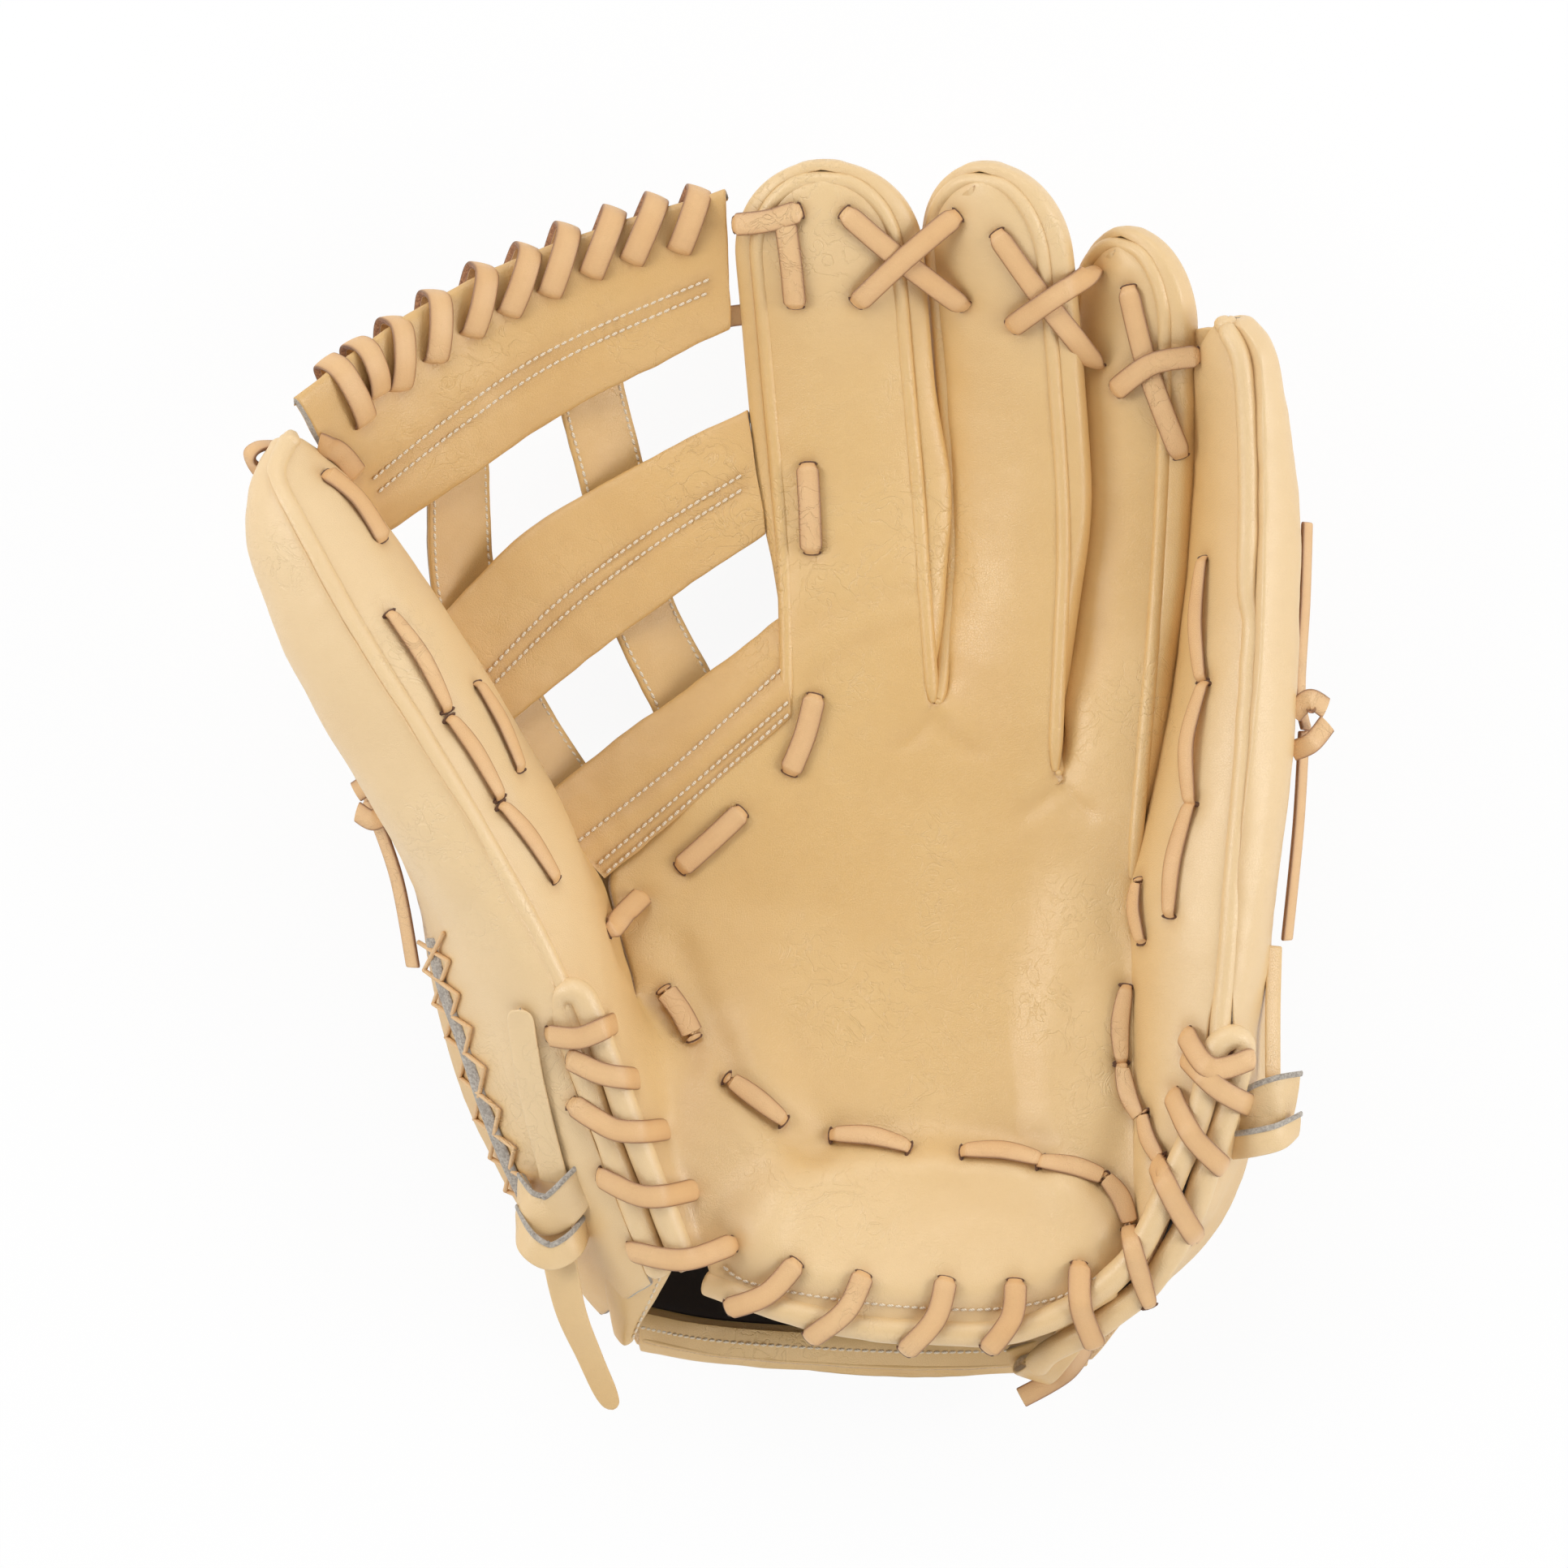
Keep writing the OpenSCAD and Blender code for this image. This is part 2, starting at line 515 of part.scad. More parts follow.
// Surfaces that laces lie on: 0 to 2 are the finger fronts, 3 the palm, 4 the thumb, 5 the pinky
function surf(k, u, v) =
    k < 3 ? finger_pt(k, u, v * finger_len[k])
    : k == 3 ? palm_pt(3 * u, v)
    : wall_pt(k == 4 ? thumb_wall : pinky_wall, u, v);
function surf_up(k, u, v) =
    unit(cross(surf(k, min(u + 0.02, 1), v) - surf(k, max(u - 0.02, 0), v),
        surf(k, u, min(v + 0.02, 1)) - surf(k, u, max(v - 0.02, 0))));
lace_lift = gap + lace_t / 2;
// One stitch between two places [surface, u, v], arched in the middle
module stitch(a, b, arch = 0.5, n = 6) {
    pa = surf(a[0], a[1], a[2]);
    pb = surf(b[0], b[1], b[2]);
    ua = surf_up(a[0], a[1], a[2]);
    ub = surf_up(b[0], b[1], b[2]);
    same = a[0] == b[0];
    up = [for (k = [0 : n])
        let (q = mix(a, b, k / n)) same ? surf_up(a[0], q[1], q[2]) : unit(mix(ua, ub, k / n))];
    p = [for (k = [0 : n])
        let (q = mix(a, b, k / n))
        (same ? surf(a[0], q[1], q[2]) : mix(pa, pb, k / n)) + up[k] * (lace_lift + arch * sin(180 * k / n))];
    color(tan_lace)
        band(p, up, lace_w, lace_t);
}

// Posts of the web, behind the bars
function bar_up(b, u, v) =
    let (g = bar_nets[b])
    unit(cross(net_pt(g, min(u + 0.02, 1), v) - net_pt(g, max(u - 0.02, 0), v), net_pt(g, u, 1) - net_pt(g, u, 0)));
module web_post(route) {
    p = [for (r = route) net_pt(bar_nets[r[0]], r[1], r[2]) - bar_up(r[0], r[1], r[2]) * (bar_t + gap + post_t / 2 + 0.6)];
    up = [for (r = route) bar_up(r[0], r[1], r[2])];
    color(camel)
        band([for (k = [0 : 16]) spline(p, k / 16)], [for (k = [0 : 16]) unit(spline(up, k / 16))], post_w, post_t);
}
module web_thumb_post() {
    web_post([[0, 0.36, 0.4], [0, 0.34, 0.12], [1, 0.16, 0.9], [1, 0.1, 0.15], [2, 0.13, 0.85], [2, 0.16, 0.35]]);
}
module web_index_post() {
    web_post([[0, 0.74, 0.4], [0, 0.72, 0.12], [1, 0.66, 0.9], [1, 0.58, 0.15], [2, 0.6, 0.85], [2, 0.6, 0.35]]);
}

// Whip lace over the upper edge of the top bar
module web_top_lace() {
    n = lace_lift;
    for (k = [0 : whip_count - 1]) {
        u = mix(0.06, 0.94, k / (whip_count - 1));
        low = net_pt(top_bar_net, u, 0.6);
        edge = net_pt(top_bar_net, u, 1);
        run = unit(edge - low);
        face = unit(cross(net_pt(top_bar_net, u + 0.02, 0.9) - net_pt(top_bar_net, u - 0.02, 0.9), run));
        back = -face * (bar_t + 2 * n);
        out = run * (n + bar_t / 2);
        p = [low + face * n, mix(low, edge, 0.55) + face * (n + 0.4), edge + face * n + run * 0.8,
            edge + out + back * 0.5 + face * n, edge + face * n + back + run * 0.8, low + face * n + back];
        color(tan_lace)
            band(p, [face, face, unit(face + run), run, unit(run - face), -face], lace_w, lace_t);
    }
}
// Lace that ties the web to the index finger and along its foot in the palm
module web_index_lace() {
    for (s = [[[0, 0.24, 0.875], [0, 0.25, 0.76]], [[0, 0.24, 0.45], [0, 0.21, 0.295]],
            [[3, 0.115, 0.775], [3, 0.1, 0.665]], [[3, 0.07, 0.585], [3, 0.04, 0.52]],
            [[3, 0.137, 0.325], [3, 0.227, 0.278]]])
        stitch(s[0], s[1]);
    stitch([0, 0.18, 0.09], [3, 0.14, 0.875], 0.6);
}
module palm_lace() {
    for (s = [[[3, 0.32, 0.266], [3, 0.48, 0.271]], [[3, 0.588, 0.28], [3, 0.725, 0.278]],
            [[3, 0.745, 0.274], [3, 0.89, 0.24]], [[3, 0.955, 0.7], [3, 0.95, 0.525]],
            [[3, 0.95, 0.505], [3, 0.955, 0.39]], [[3, 0.915, 0.215], [3, 0.94, 0.11]]])
        stitch(s[0], s[1]);
}
// Strand from finger i over its pinky-side seam to the next stall, raised by a step
module cross_lace(i, a, b, step) {
    f = mix(a[1], b[2], 0.4) * finger_len[i];
    w = stall_across(i, f);
    n = cross(w, stall_dir(i, f));
    pa = surf(i, a[0], a[1]);
    pb = surf(b[0], b[1], b[2]);
    ua = surf_up(i, a[0], a[1]);
    ub = surf_up(b[0], b[1], b[2]);
    over = seam(i, 1, f, 0) + n * (welt_r + lace_lift + step + 0.9);
    side = seam(i, 1, f, 0) + w * (swell[i][1] + lace_lift + step + 0.9) + n * 0.8;
    p = [pa + ua * lace_lift, over, side, pb + ub * (lace_lift + 0.8)];
    up = [ua, n, unit(w + 0.3 * n), ub];
    color(tan_lace)
        band([for (k = [0 : 12]) spline(p, k / 12)], [for (k = [0 : 12]) unit(spline(up, k / 12))], lace_w, lace_t);
}
// Crosses between the fingers, lower strand first
over_step = lace_t + gap + 0.4;
module finger_lace() {
    cross_lace(0, [0.71, 0.9], [1, 0.277, 0.775], 0);
    cross_lace(0, [0.698, 0.76], [1, 0.259, 0.89], over_step);
    cross_lace(1, [0.684, 0.884], [2, 0.4, 0.778], 0);
    cross_lace(1, [0.698, 0.737], [2, 0.4, 0.89], over_step);
}
module ring_pinky_lace() {
    cross_lace(2, [0.673, 0.88], [5, 0.5, 0.73], 0);
    cross_lace(2, [0.56, 0.745], [5, 0.5, 0.84], over_step);
}
module thumb_lace() {
    for (s = [[[4, 0.181, 0.613], [4, 0.16, 0.518]], [[4, 0.152, 0.504], [4, 0.168, 0.438]],
            [[4, 0.16, 0.425], [4, 0.25, 0.364]]])
        stitch(s[0], s[1]);
}
module web_thumb_lace() {
    stitch([4, 0.7, 0.53], [4, 0.5, 0.45]);
    stitch([4, 0.6, 0.86], [4, 0.85, 0.74]);
    color(tan_lace)
        rear_strip(thumb_rear, [[0.86, 0.78], [0.9, 0.62], [0.94, 0.42]], lace_w, lace_t, gap + 0.3, 8);
}
module pinky_lace() {
    for (s = [[[5, 0.457, 0.596], [5, 0.59, 0.511]], [[5, 0.61, 0.503], [5, 0.613, 0.428]],
            [[5, 0.61, 0.418], [5, 0.506, 0.346]], [[5, 0.16, 0.365], [5, 0.22, 0.318]]])
        stitch(s[0], s[1]);
}

// Loops that whip a pair of heel rolls together: v along the ridge, lean of the loop
module roll_loop(ridge, out, v, lean, inward) {
    c = spline(ridge, v);
    along = unit(spline(ridge, v + 0.02) - spline(ridge, max(v - 0.02, 0)));
    o = unit(unit(out) - along * (along * unit(out)));
    up = unit(cross(o, along)) * (cross(o, along)[2] > 0 ? 1 : -1);
    r = roll_r + lace_lift;
    d = roll_d + gap;
    turn = [150, 120, 90];
    right = [for (a = turn) [cos(a) * r, sin(a) * r]];
    left = [for (a = [90, 72, 54, 38]) [d + cos(a) * r, sin(a) * r]];
    ring = concat([for (q = right) q], [for (q = left) q]);
    n = len(ring) - 1;
    color(tan_lace)
        band([for (k = [0 : n]) c + o * ring[k][0] + up * ring[k][1] + along * lean * (k / n - 0.5)],
            [for (k = [0 : n]) let (q = ring[k]) unit(o * (k < 3 ? q[0] : q[0] - d) + up * q[1])], lace_w, lace_t);
}
module thumb_heel_lace() {
    for (q = [[0.225, 3], [0.186, -5], [0.14, -5], [0.085, -3], [0.03, 0]])
        roll_loop(thumb_ridge, thumb_out, q[0], q[1]);
}
module pinky_heel_lace() {
    for (q = [[0.225, -4], [0.195, -6], [0.15, -8], [0.095, -8]])
        roll_loop(pinky_ridge, pinky_out, q[0], q[1]);
}
// Loops of the heel lace round the palm roll
module palm_heel_lace() {
    for (u = [0.2, 0.35, 0.53, 0.665, 0.82]) {
        r = roll_r + lace_lift + 0.6;
        t = mix(0.02, 0.98, u);
        along = unit(spline(heel, t + 0.03) - spline(heel, t - 0.03));
        o = unit(cross(along, [0, 0, 1]));
        up = cross(o, along);
        c = spline(heel, t) + [0, -roll_r - gap - 0.8, -1];
        turn = [80, 50, 20, -15, -50];
        start = surf(3, u + 0.025, 0.06) + surf_up(3, u + 0.025, 0.06) * (lace_lift + 0.4);
        color(tan_lace)
            band(concat([start], [for (a = turn) c + (o * cos(a) + up * sin(a)) * r + along * (a - 50) * 0.03]),
                concat([[0, 0, 1]], [for (a = turn) o * cos(a) + up * sin(a)]), lace_w, lace_t);
    }
}

// Places on the outside of the thumb and pinky backs: q from the right rail round to the left rail
function rear_pt(w, v, q) = let (row = wall_back_row(w, v, 0, 0, 40)) row[round(40 * q)];
function rear_up(w, v, q) =
    let (row = wall_back_row(w, v, 0, 0, 40), j = round(40 * q), next = wall_back_row(w, v + 0.02, 0, 0, 40))
    unit(cross(row[min(j + 2, 40)] - row[max(j - 2, 0)], next[j] - row[j]));
// Strip on a back wall through places [v, q], lifted off the leather
module rear_strip(w, route, width, t, lift, n = 12) {
    place = [for (k = [0 : n]) spline(route, k / n)];
    up = [for (r = place) rear_up(w, r[0], r[1])];
    band([for (k = [0 : n]) rear_pt(w, place[k][0], place[k][1]) + up[k] * (lift + t / 2)], up, width, t);
}
// Raw edge of the thumb back
module thumb_edge() {
    color(suede)
        rear_strip(thumb_rear, [[0.05, 0.1], [0.15, 0.08], [0.25, 0.07], [0.33, 0.07]], edge_w, 1.2, gap);
}
// Wide thong that ties the strap on the thumb side: strip, two wraps of its knot and its tongue
module strap_thong() {
    w = thumb_rear;
    tongue = [rear_pt(w, 0.1, 0.55) + rear_up(w, 0.1, 0.55) * (gap + thong_t / 2),
        rear_pt(w, 0.05, 0.5) + rear_up(w, 0.05, 0.5) * (gap + thong_t), [-56, -145, 44], [-46, -163, 36]];
    color(camel) {
        rear_strip(w, [[0.24, 0.58], [0.19, 0.57], [0.135, 0.56]], thong_w, thong_t, gap);
        for (v = [0.1, 0.128])
            rear_strip(w, [[v - 0.004, 0.36], [v, 0.56], [v + 0.004, 0.76]], thong_w * 0.8, thong_t, thong_t + 3 * gap, 8);
        band([for (k = [0 : 8]) spline(tongue, k / 8)], [for (k = [0 : 8]) unit([-0.75, -0.2, 0.6])], thong_w, thong_t);
    }
}
// Wide thong knot on the pinky side
module pinky_thong() {
    w = pinky_rear;
    color(camel) {
        rear_strip(w, [[0.245, 0.42], [0.2, 0.42], [0.15, 0.42]], thong_w, thong_t, gap, 8);
        for (v = [0.165, 0.2])
            rear_strip(w, [[v - 0.006, 0.2], [v, 0.42], [v + 0.006, 0.64]], thong_w * 0.8, thong_t, thong_t + 3 * gap, 8);
    }
}
// Knot and tails where a lace ends on a back wall
module lace_end(w, v, q, up, down) {
    color(tan_lace) {
        rear_strip(w, [[v + 0.012, q], [mix(v, up[0], 0.5), mix(q, up[1], 0.5)], up], lace_w, lace_t, gap + 0.2, 8);
        rear_strip(w, [[v - 0.012, q], [mix(v, down[0], 0.5), mix(q, down[1], 0.5)], down], lace_w, lace_t, gap + 0.2, 8);
        for (d = [-0.016, 0.016])
            rear_strip(w, [[v + d, q - 0.07], [v + d * 0.6, q], [v + d, q + 0.07]], lace_w, lace_t, lace_t + 3 * gap, 6);
    }
}
module thumb_knot() {
    lace_end(thumb_rear, 0.47, 0.62, [0.62, 0.64], [0.3, 0.66]);
}
module pinky_knot() {
    lace_end(pinky_rear, 0.5, 0.34, [0.62, 0.34], [0.36, 0.36]);
}
// Loops for the thumb and the little finger, sewn to the stays
module finger_loop(w, v, deep) {
    n = 10;
    inner = front_t + stay_t + 3 * gap + lining_t / 2;
    place = [for (k = [0 : n]) [mix(0.3, 0.74, k / n), v]];
    up = [for (r = place) unit(cross(wall_pt(w, r[0] + 0.02, v) - wall_pt(w, r[0] - 0.02, v), wall_dir(w, v)))];
    color(dark)
        band([for (k = [0 : n]) wall_pt(w, place[k][0], v) - up[k] * (inner + deep * sin(180 * k / n))], up, 14, lining_t);
}
module thumb_loop() {
    finger_loop(thumb_wall, 0.52, 12);
}
module pinky_loop() {
    finger_loop(pinky_wall, 0.52, 9);
}
// Heel lace that ties the strap to the palm roll, with its tail
module heel_tail() {
    tie = spline(strap_net[0], 0.93) - [1, gap + lace_t / 2 + 0.3, -1];
    p = [[80, -145.9, 55], [85, -150.5, 43], tie, [78, -159.5, 24], [64, -163, 20]];
    color(tan_lace)
        band([for (k = [0 : 10]) spline(p, k / 10)], [for (k = [0 : 10]) unit([0.1, -1, 0.3])], lace_w, lace_t);
}

palm_shell();
index_back();
middle_back();
ring_back();
index_welt();
middle_welt();
ring_welt();
palm_pad();
palm_lining();
palm_roll();
palm_lace();
palm_heel_lace();
finger_lace();
ring_pinky_lace();
knuckle_panel();
wrist_strap();
strap_lining();
heel_tail();
web_top_bar();
web_middle_bar();
web_low_bar();
web_thumb_post();
web_index_post();
web_top_lace();
web_index_lace();
thumb_front();
thumb_back();
thumb_welt();
thumb_stay();
thumb_loop();
thumb_rolls();
thumb_heel_lace();
thumb_lace();
web_thumb_lace();
thumb_edge();
strap_thong();
thumb_knot();
pinky_front();
pinky_back();
pinky_welt();
pinky_stay();
pinky_loop();
pinky_rolls();
pinky_heel_lace();
pinky_lace();
pinky_thong();
pinky_knot();
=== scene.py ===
"""Baseball glove: leather, laces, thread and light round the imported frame.

Sizes are in millimetres, as in the part's source, and become metres where a mesh is made.
"""

import math
from collections import namedtuple

import bpy
import numpy as np
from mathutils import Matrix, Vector
from mathutils.bvhtree import BVHTree
from mathutils.noise import noise as noise_at


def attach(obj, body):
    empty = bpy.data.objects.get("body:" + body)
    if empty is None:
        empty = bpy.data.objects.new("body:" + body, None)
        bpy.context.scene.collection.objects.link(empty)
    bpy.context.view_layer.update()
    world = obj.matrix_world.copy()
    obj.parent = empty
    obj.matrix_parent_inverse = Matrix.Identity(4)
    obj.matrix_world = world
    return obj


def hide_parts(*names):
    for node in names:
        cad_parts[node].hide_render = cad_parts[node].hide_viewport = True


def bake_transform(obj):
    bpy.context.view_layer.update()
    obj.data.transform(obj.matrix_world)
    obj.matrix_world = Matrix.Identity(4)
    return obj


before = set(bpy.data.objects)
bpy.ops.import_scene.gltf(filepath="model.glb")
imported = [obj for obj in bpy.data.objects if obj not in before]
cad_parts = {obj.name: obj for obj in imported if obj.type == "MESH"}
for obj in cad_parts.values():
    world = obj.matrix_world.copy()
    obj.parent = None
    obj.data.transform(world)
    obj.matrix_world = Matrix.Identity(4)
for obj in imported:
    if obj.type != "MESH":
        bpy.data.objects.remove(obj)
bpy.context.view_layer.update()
MM = 0.001

# Sizes of the leather, seams and laces
FRONT_T, BACK_T, LINING_T, PAD_T, STAY_T = 3.0, 2.2, 1.2, 4.5, 3.0
FINGER_LEN, FINGER_W = (143, 150, 157), (37.5, 33, 29)
STALL_DEPTH, FINGER_CROWN, POCKET = 11, 3, 9
WELT_R, ROLL_R, EDGE_W = 1.3, 3.5, 5
LACE_W, LACE_T, THONG_W, THONG_T = 6, 1.6, 10.5, 2.4
BAR_T, POST_W, POST_T, STRAP_T = 4, 20, 3, 2.6
TIP_IN, TIP_R, SEAM_DROP, SQUARE = 3.5, 20, 4, 0.8
SWELL = ((6, 6.6), (3.4, 6), (2.5, 5.5))
KNUCKLE_DEPTH = (27, 29, 32)
BACK_FROM, WELT_FROM, GROOVE = 0.05, 0.03, -0.2
STITCH_PITCH, STITCH_LEN, STITCH_W = 2.15, 1.85, 0.85
LACE_CROWN, LACE_EDGE_DROP, RUMPLE = 1.6, 0.4, 70

# The photograph: size of a pixel at the height of the palm's rim, its middle pixel, and its camera
SCALE, PHOTO_MID = 0.2133, 966
CAMERA_Z, RIM_Z, HALF_VIEW = 2460, 60, 206.05


def P(*xyz):
    """A point or a direction."""
    return np.array(xyz, float)


def line_of(*rows):
    return [P(*row) for row in rows]


def net_of(*rows):
    return [line_of(*row) for row in rows]


# Fold lines, ridges, edges and nets, close to those in the part's source
THUMB_AXIS = (P(-20.5, -127, 56), P(-47.5, -25.5, 36))
PINKY_AXIS = (P(92.5, -127, 57), P(92, -25, 47))
CROTCH = (P(0, 18.5, 36), P(40, 22, 37.5), P(72, 3.5, 43), PINKY_AXIS[1])
DRIFT = ((0, -2.3, -6.5, -10.5), (0, 3, 0, -5), (0, 4.5, 7, 6.5))
RISE = ((0, 1, 9, 27), (0, -1, 6, 25), (0, -11, -7, 12))
FINGER_ROLL = (4, 24, 38)
HEEL = (THUMB_AXIS[0], P(0, -134, 61), P(20, -138.5, 61), P(39, -140, 60),
        P(62, -140, 60), P(80, -135, 60), PINKY_AXIS[0])
WEB_TURN, FOLD_PART = 0.62, 0.375
ROLL_END, SEAM_FROM, SEAM_EASE = 0.2, 0.25, 0.04
THUMB_RIDGE = line_of(
    (-28.5, -129, 66), (-42.5, -92, 76), (-56, -55, 86), (-72.5, -23, 92), (-93.5, 11.5, 95),
    (-112.5, 42, 95), (-127, 68.5, 92), (-132, 80.5, 87), (-128.5, 90, 80))
PINKY_RIDGE = line_of(
    (94.5, -133, 62), (108, -100.5, 68), (114.5, -61, 72), (118, -24, 72), (121.5, 24.5, 69),
    (123, 66.5, 67), (122.5, 94, 69), (120.5, 112, 71), (116, 120.5, 69))
THUMB_FREE = line_of((-78, 19, 42), (-96, 48, 47), (-109, 70, 55), (-116, 83, 64), (-127, 90.5, 77))
PINKY_FREE = line_of((103, 25, 36), (107, 67, 33), (108, 94, 40), (108, 112, 53), (113, 121, 65))
THUMB_REAR_LOW = [P(-47.5, -141, 32), P(-70, -107, 27), P(-84, -62, 27), P(-80, -20, 24)] + THUMB_FREE
PINKY_REAR_LOW = [P(97, -133, 38), P(116.5, -112, 26), P(125, -66, 20), P(113, -22, 16)] + PINKY_FREE
THUMB_OUT, PINKY_OUT = P(-5.6, -2, -4.2), P(5.2, -3.5, -3.6)
KNUCKLE_NET = net_of(
    ((-62, -64, 16), (-28, -70, -1), (25, -72, -5), (75, -70, -2), (106, -64, 15)),
    ((-62, -36, 15), (-25, -36, -2), (25, -36, -5), (75, -38, -3), (99, -40, 12)),
    ((-46, 2, 18), (-14, 18, 13), (20, 32, 12), (60, 32, 14), (90, 18, 16)))
STRAP_NET = net_of(
    ((-40, -149, 32), (-20, -154, 12), (12, -157, 2), (42, -158, 1), (72, -156, 12), (94, -151, 34)),
    ((-55, -121, 25), (-25, -128, 4), (10, -130, -4), (45, -131, -4), (85, -128, 4), (110, -121, 25)),
    ((-66, -90, 22), (-30, -100, 2), (10, -104, -4), (45, -104, -4), (90, -100, 2), (116, -88, 19)))
TOP_BAR = net_of(
    ((-108, 63, 50), (-84, 79, 46), (-57, 97.5, 42), (-14, 119.5, 42)),
    ((-126, 99, 82), (-96, 122.5, 62), (-61, 140.5, 52), (-15.5, 155.5, 52)))
MIDDLE_BAR = net_of(
    ((-74, 14, 38), (-54, 30, 35), (-29.5, 48.5, 33), (-4.5, 65.5, 34)),
    ((-92, 41, 43), (-71, 63, 40), (-44.5, 80.5, 37), (-9.5, 98.5, 37)))
LOW_BAR = net_of(
    ((-47, -26, 37.6), (-33.5, -14.5, 37), (-17, 0, 37), (2, 17, 37.5)),
    ((-66, -6, 36), (-43.5, 12, 32), (-23, 27, 31), (0.5, 45, 33)))
BARS = (TOP_BAR, MIDDLE_BAR, LOW_BAR)
for net in BARS:
    net[1] = [high + (high - low) * 0.06 for low, high in zip(*net)]


# Curves and surfaces
def mix(a, b, t):
    return a + (b - a) * t


def unit(v):
    return v / max(np.linalg.norm(v), 1e-9)


def soft(t):
    c = min(max(t, 0), 1)
    return c * c * (3 - 2 * c)


def spow(x, e):
    return math.copysign(abs(x) ** e, x)


def spline(p, t):
    """Smooth curve through the points p, for t from 0 to 1."""
    n = len(p) - 1
    x = min(max(t, 0), 1) * n
    i = min(int(x), n - 1)
    f = x - i
    a, b, c, d = p[max(i - 1, 0)], p[i], p[i + 1], p[min(i + 2, n)]
    square, cube = 2 * a - 5 * b + 4 * c - d, 3 * b - a - 3 * c + d
    return 0.5 * (2 * b + (c - a) * f + square * f * f + cube * f ** 3)


def cap(s, length, radius):
    """Share of the width at s on a strip with a half-round end."""
    if s <= length - radius:
        return 1
    return 0 if s >= length else math.sqrt(1 - ((s - length + radius) / radius) ** 2)


def sampled(line, steps, first=0.0, last=1.0):
    """Even steps along a smooth curve through points or pixels."""
    line = line_of(*line)
    return [spline(line, mix(first, last, k / steps)) for k in range(steps + 1)]


def palm_pt(u, v):
    """Palm leather: u from 0 to 3 across the stalls, v from the heel to the crotches."""
    t, i = u / 3, min(int(u), 2)
    top = mix(CROTCH[i], CROTCH[i + 1], u - i)
    foot = THUMB_AXIS[1]
    if v < WEB_TURN:
        left = mix(HEEL[0], foot, v / WEB_TURN)
    else:
        left = mix(foot, CROTCH[0], (v - WEB_TURN) / (1 - WEB_TURN))
    right = mix(HEEL[6], CROTCH[3], v)
    corners = mix(mix(HEEL[0], HEEL[6], t), mix(CROTCH[0], CROTCH[3], t), v)
    dish = P(0, 0, POCKET * 16 * t * (1 - t) * v * (1 - v))
    return mix(spline(HEEL, t), top, v) + mix(left, right, t) - corners - dish


def stall_mid(i, s):
    """Middle of the front of finger i at the length s from its crotch."""
    f = s / FINGER_LEN[i]
    return (CROTCH[i] + CROTCH[i + 1]) / 2 + P(spline(DRIFT[i], f), s, spline(RISE[i], f))


def stall_dir(i, s):
    return unit(stall_mid(i, min(s + 1, FINGER_LEN[i])) - stall_mid(i, max(s - 1, 0)))


def stall_across(i, s):
    t = stall_dir(i, s)
    w = unit(P(1, 0, 0) - t * t[0])
    a = math.radians(FINGER_ROLL[i])
    return w * math.cos(a) + np.cross(w, t) * math.sin(a)


def seam(i, side, s, inset=0.0):
    """Front seam of a finger, side -1 or 1, pulled in by a margin."""
    k = soft(s / (0.3 * FINGER_LEN[i]))
    start = CROTCH[i + (side + 1) // 2] - side * unit(CROTCH[i + 1] - CROTCH[i]) * inset * soft(s / 8)
    half = (FINGER_W[i] / 2 - inset) * cap(s, FINGER_LEN[i] - TIP_IN - inset, TIP_R - inset)
    return mix(start, stall_mid(i, s) + side * stall_across(i, s) * half, k)


def finger_pt(i, u, s, inset=0.0):
    """Front leather of a finger: u from its left seam to its right seam."""
    a, b = seam(i, -1, s, inset), seam(i, 1, s, inset)
    n = unit(np.cross(stall_across(i, s), stall_dir(i, s)))
    crown = FINGER_CROWN * soft(s / 40) * cap(s, FINGER_LEN[i] - TIP_IN, TIP_R)
    return mix(a, b, u) + n * crown * (1 - abs(2 * u - 1) ** 2.4)


def low_rail(axis, free, v):
    """Lower edge of a wall: along its fold line, then along its free edge."""
    if v < FOLD_PART:
        return mix(axis[0], axis[1], v / FOLD_PART)
    return spline([axis[1]] + free, (v - FOLD_PART) / (1 - FOLD_PART))


def rear_ridge(ridge, out, v, heel_gap, top_gap):
    """Upper edge of a wall's back, which leaves room for the heel rolls low down."""
    gap = mix(heel_gap, top_gap, min(v / ROLL_END, 1)) * (1 - soft((v - ROLL_END) / 0.05))
    return spline(ridge, v) + unit(out) * gap


# Each wall has edges that run from the heel to the tip, a bulge, and for a back how far its sides swell out
Wall = namedtuple("Wall", "left right bulge swell_left swell_right", defaults=((), ()))
THUMB_SWELL = 0.3, 0.3, 0.3, 1, 2, 2, 2, 1.5, 1
THUMB_WALL = Wall(lambda v: spline(THUMB_RIDGE, v), lambda v: low_rail(THUMB_AXIS, THUMB_FREE, v),
                  (1, 2, 4, 8, 12, 12, 9, 4, 1))
PINKY_WALL = Wall(lambda v: low_rail(PINKY_AXIS, PINKY_FREE, v), lambda v: spline(PINKY_RIDGE, v),
                  (0.5, 2, 4, 5, 5, 4, 3, 2, 1))
THUMB_REAR = Wall(lambda v: rear_ridge(THUMB_RIDGE, THUMB_OUT, v, 5, 5), lambda v: spline(THUMB_REAR_LOW, v),
                  (3, 9, 15, 21, 27, 25, 20, 12, 6), THUMB_SWELL, THUMB_SWELL)
PINKY_REAR = Wall(lambda v: spline(PINKY_REAR_LOW, v),
                  lambda v: rear_ridge(PINKY_RIDGE, PINKY_OUT, v, 2.2, 5.2),
                  (2, 4, 7, 14, 20, 18, 14, 11, 8), (0.3, 0.3, 0.3, 0.8, 1, 1, 0.8, 0.6, 0.4),
                  (0.3, 0.3, 0.3, 1.5, 4, 5, 5.5, 6, 4.5))


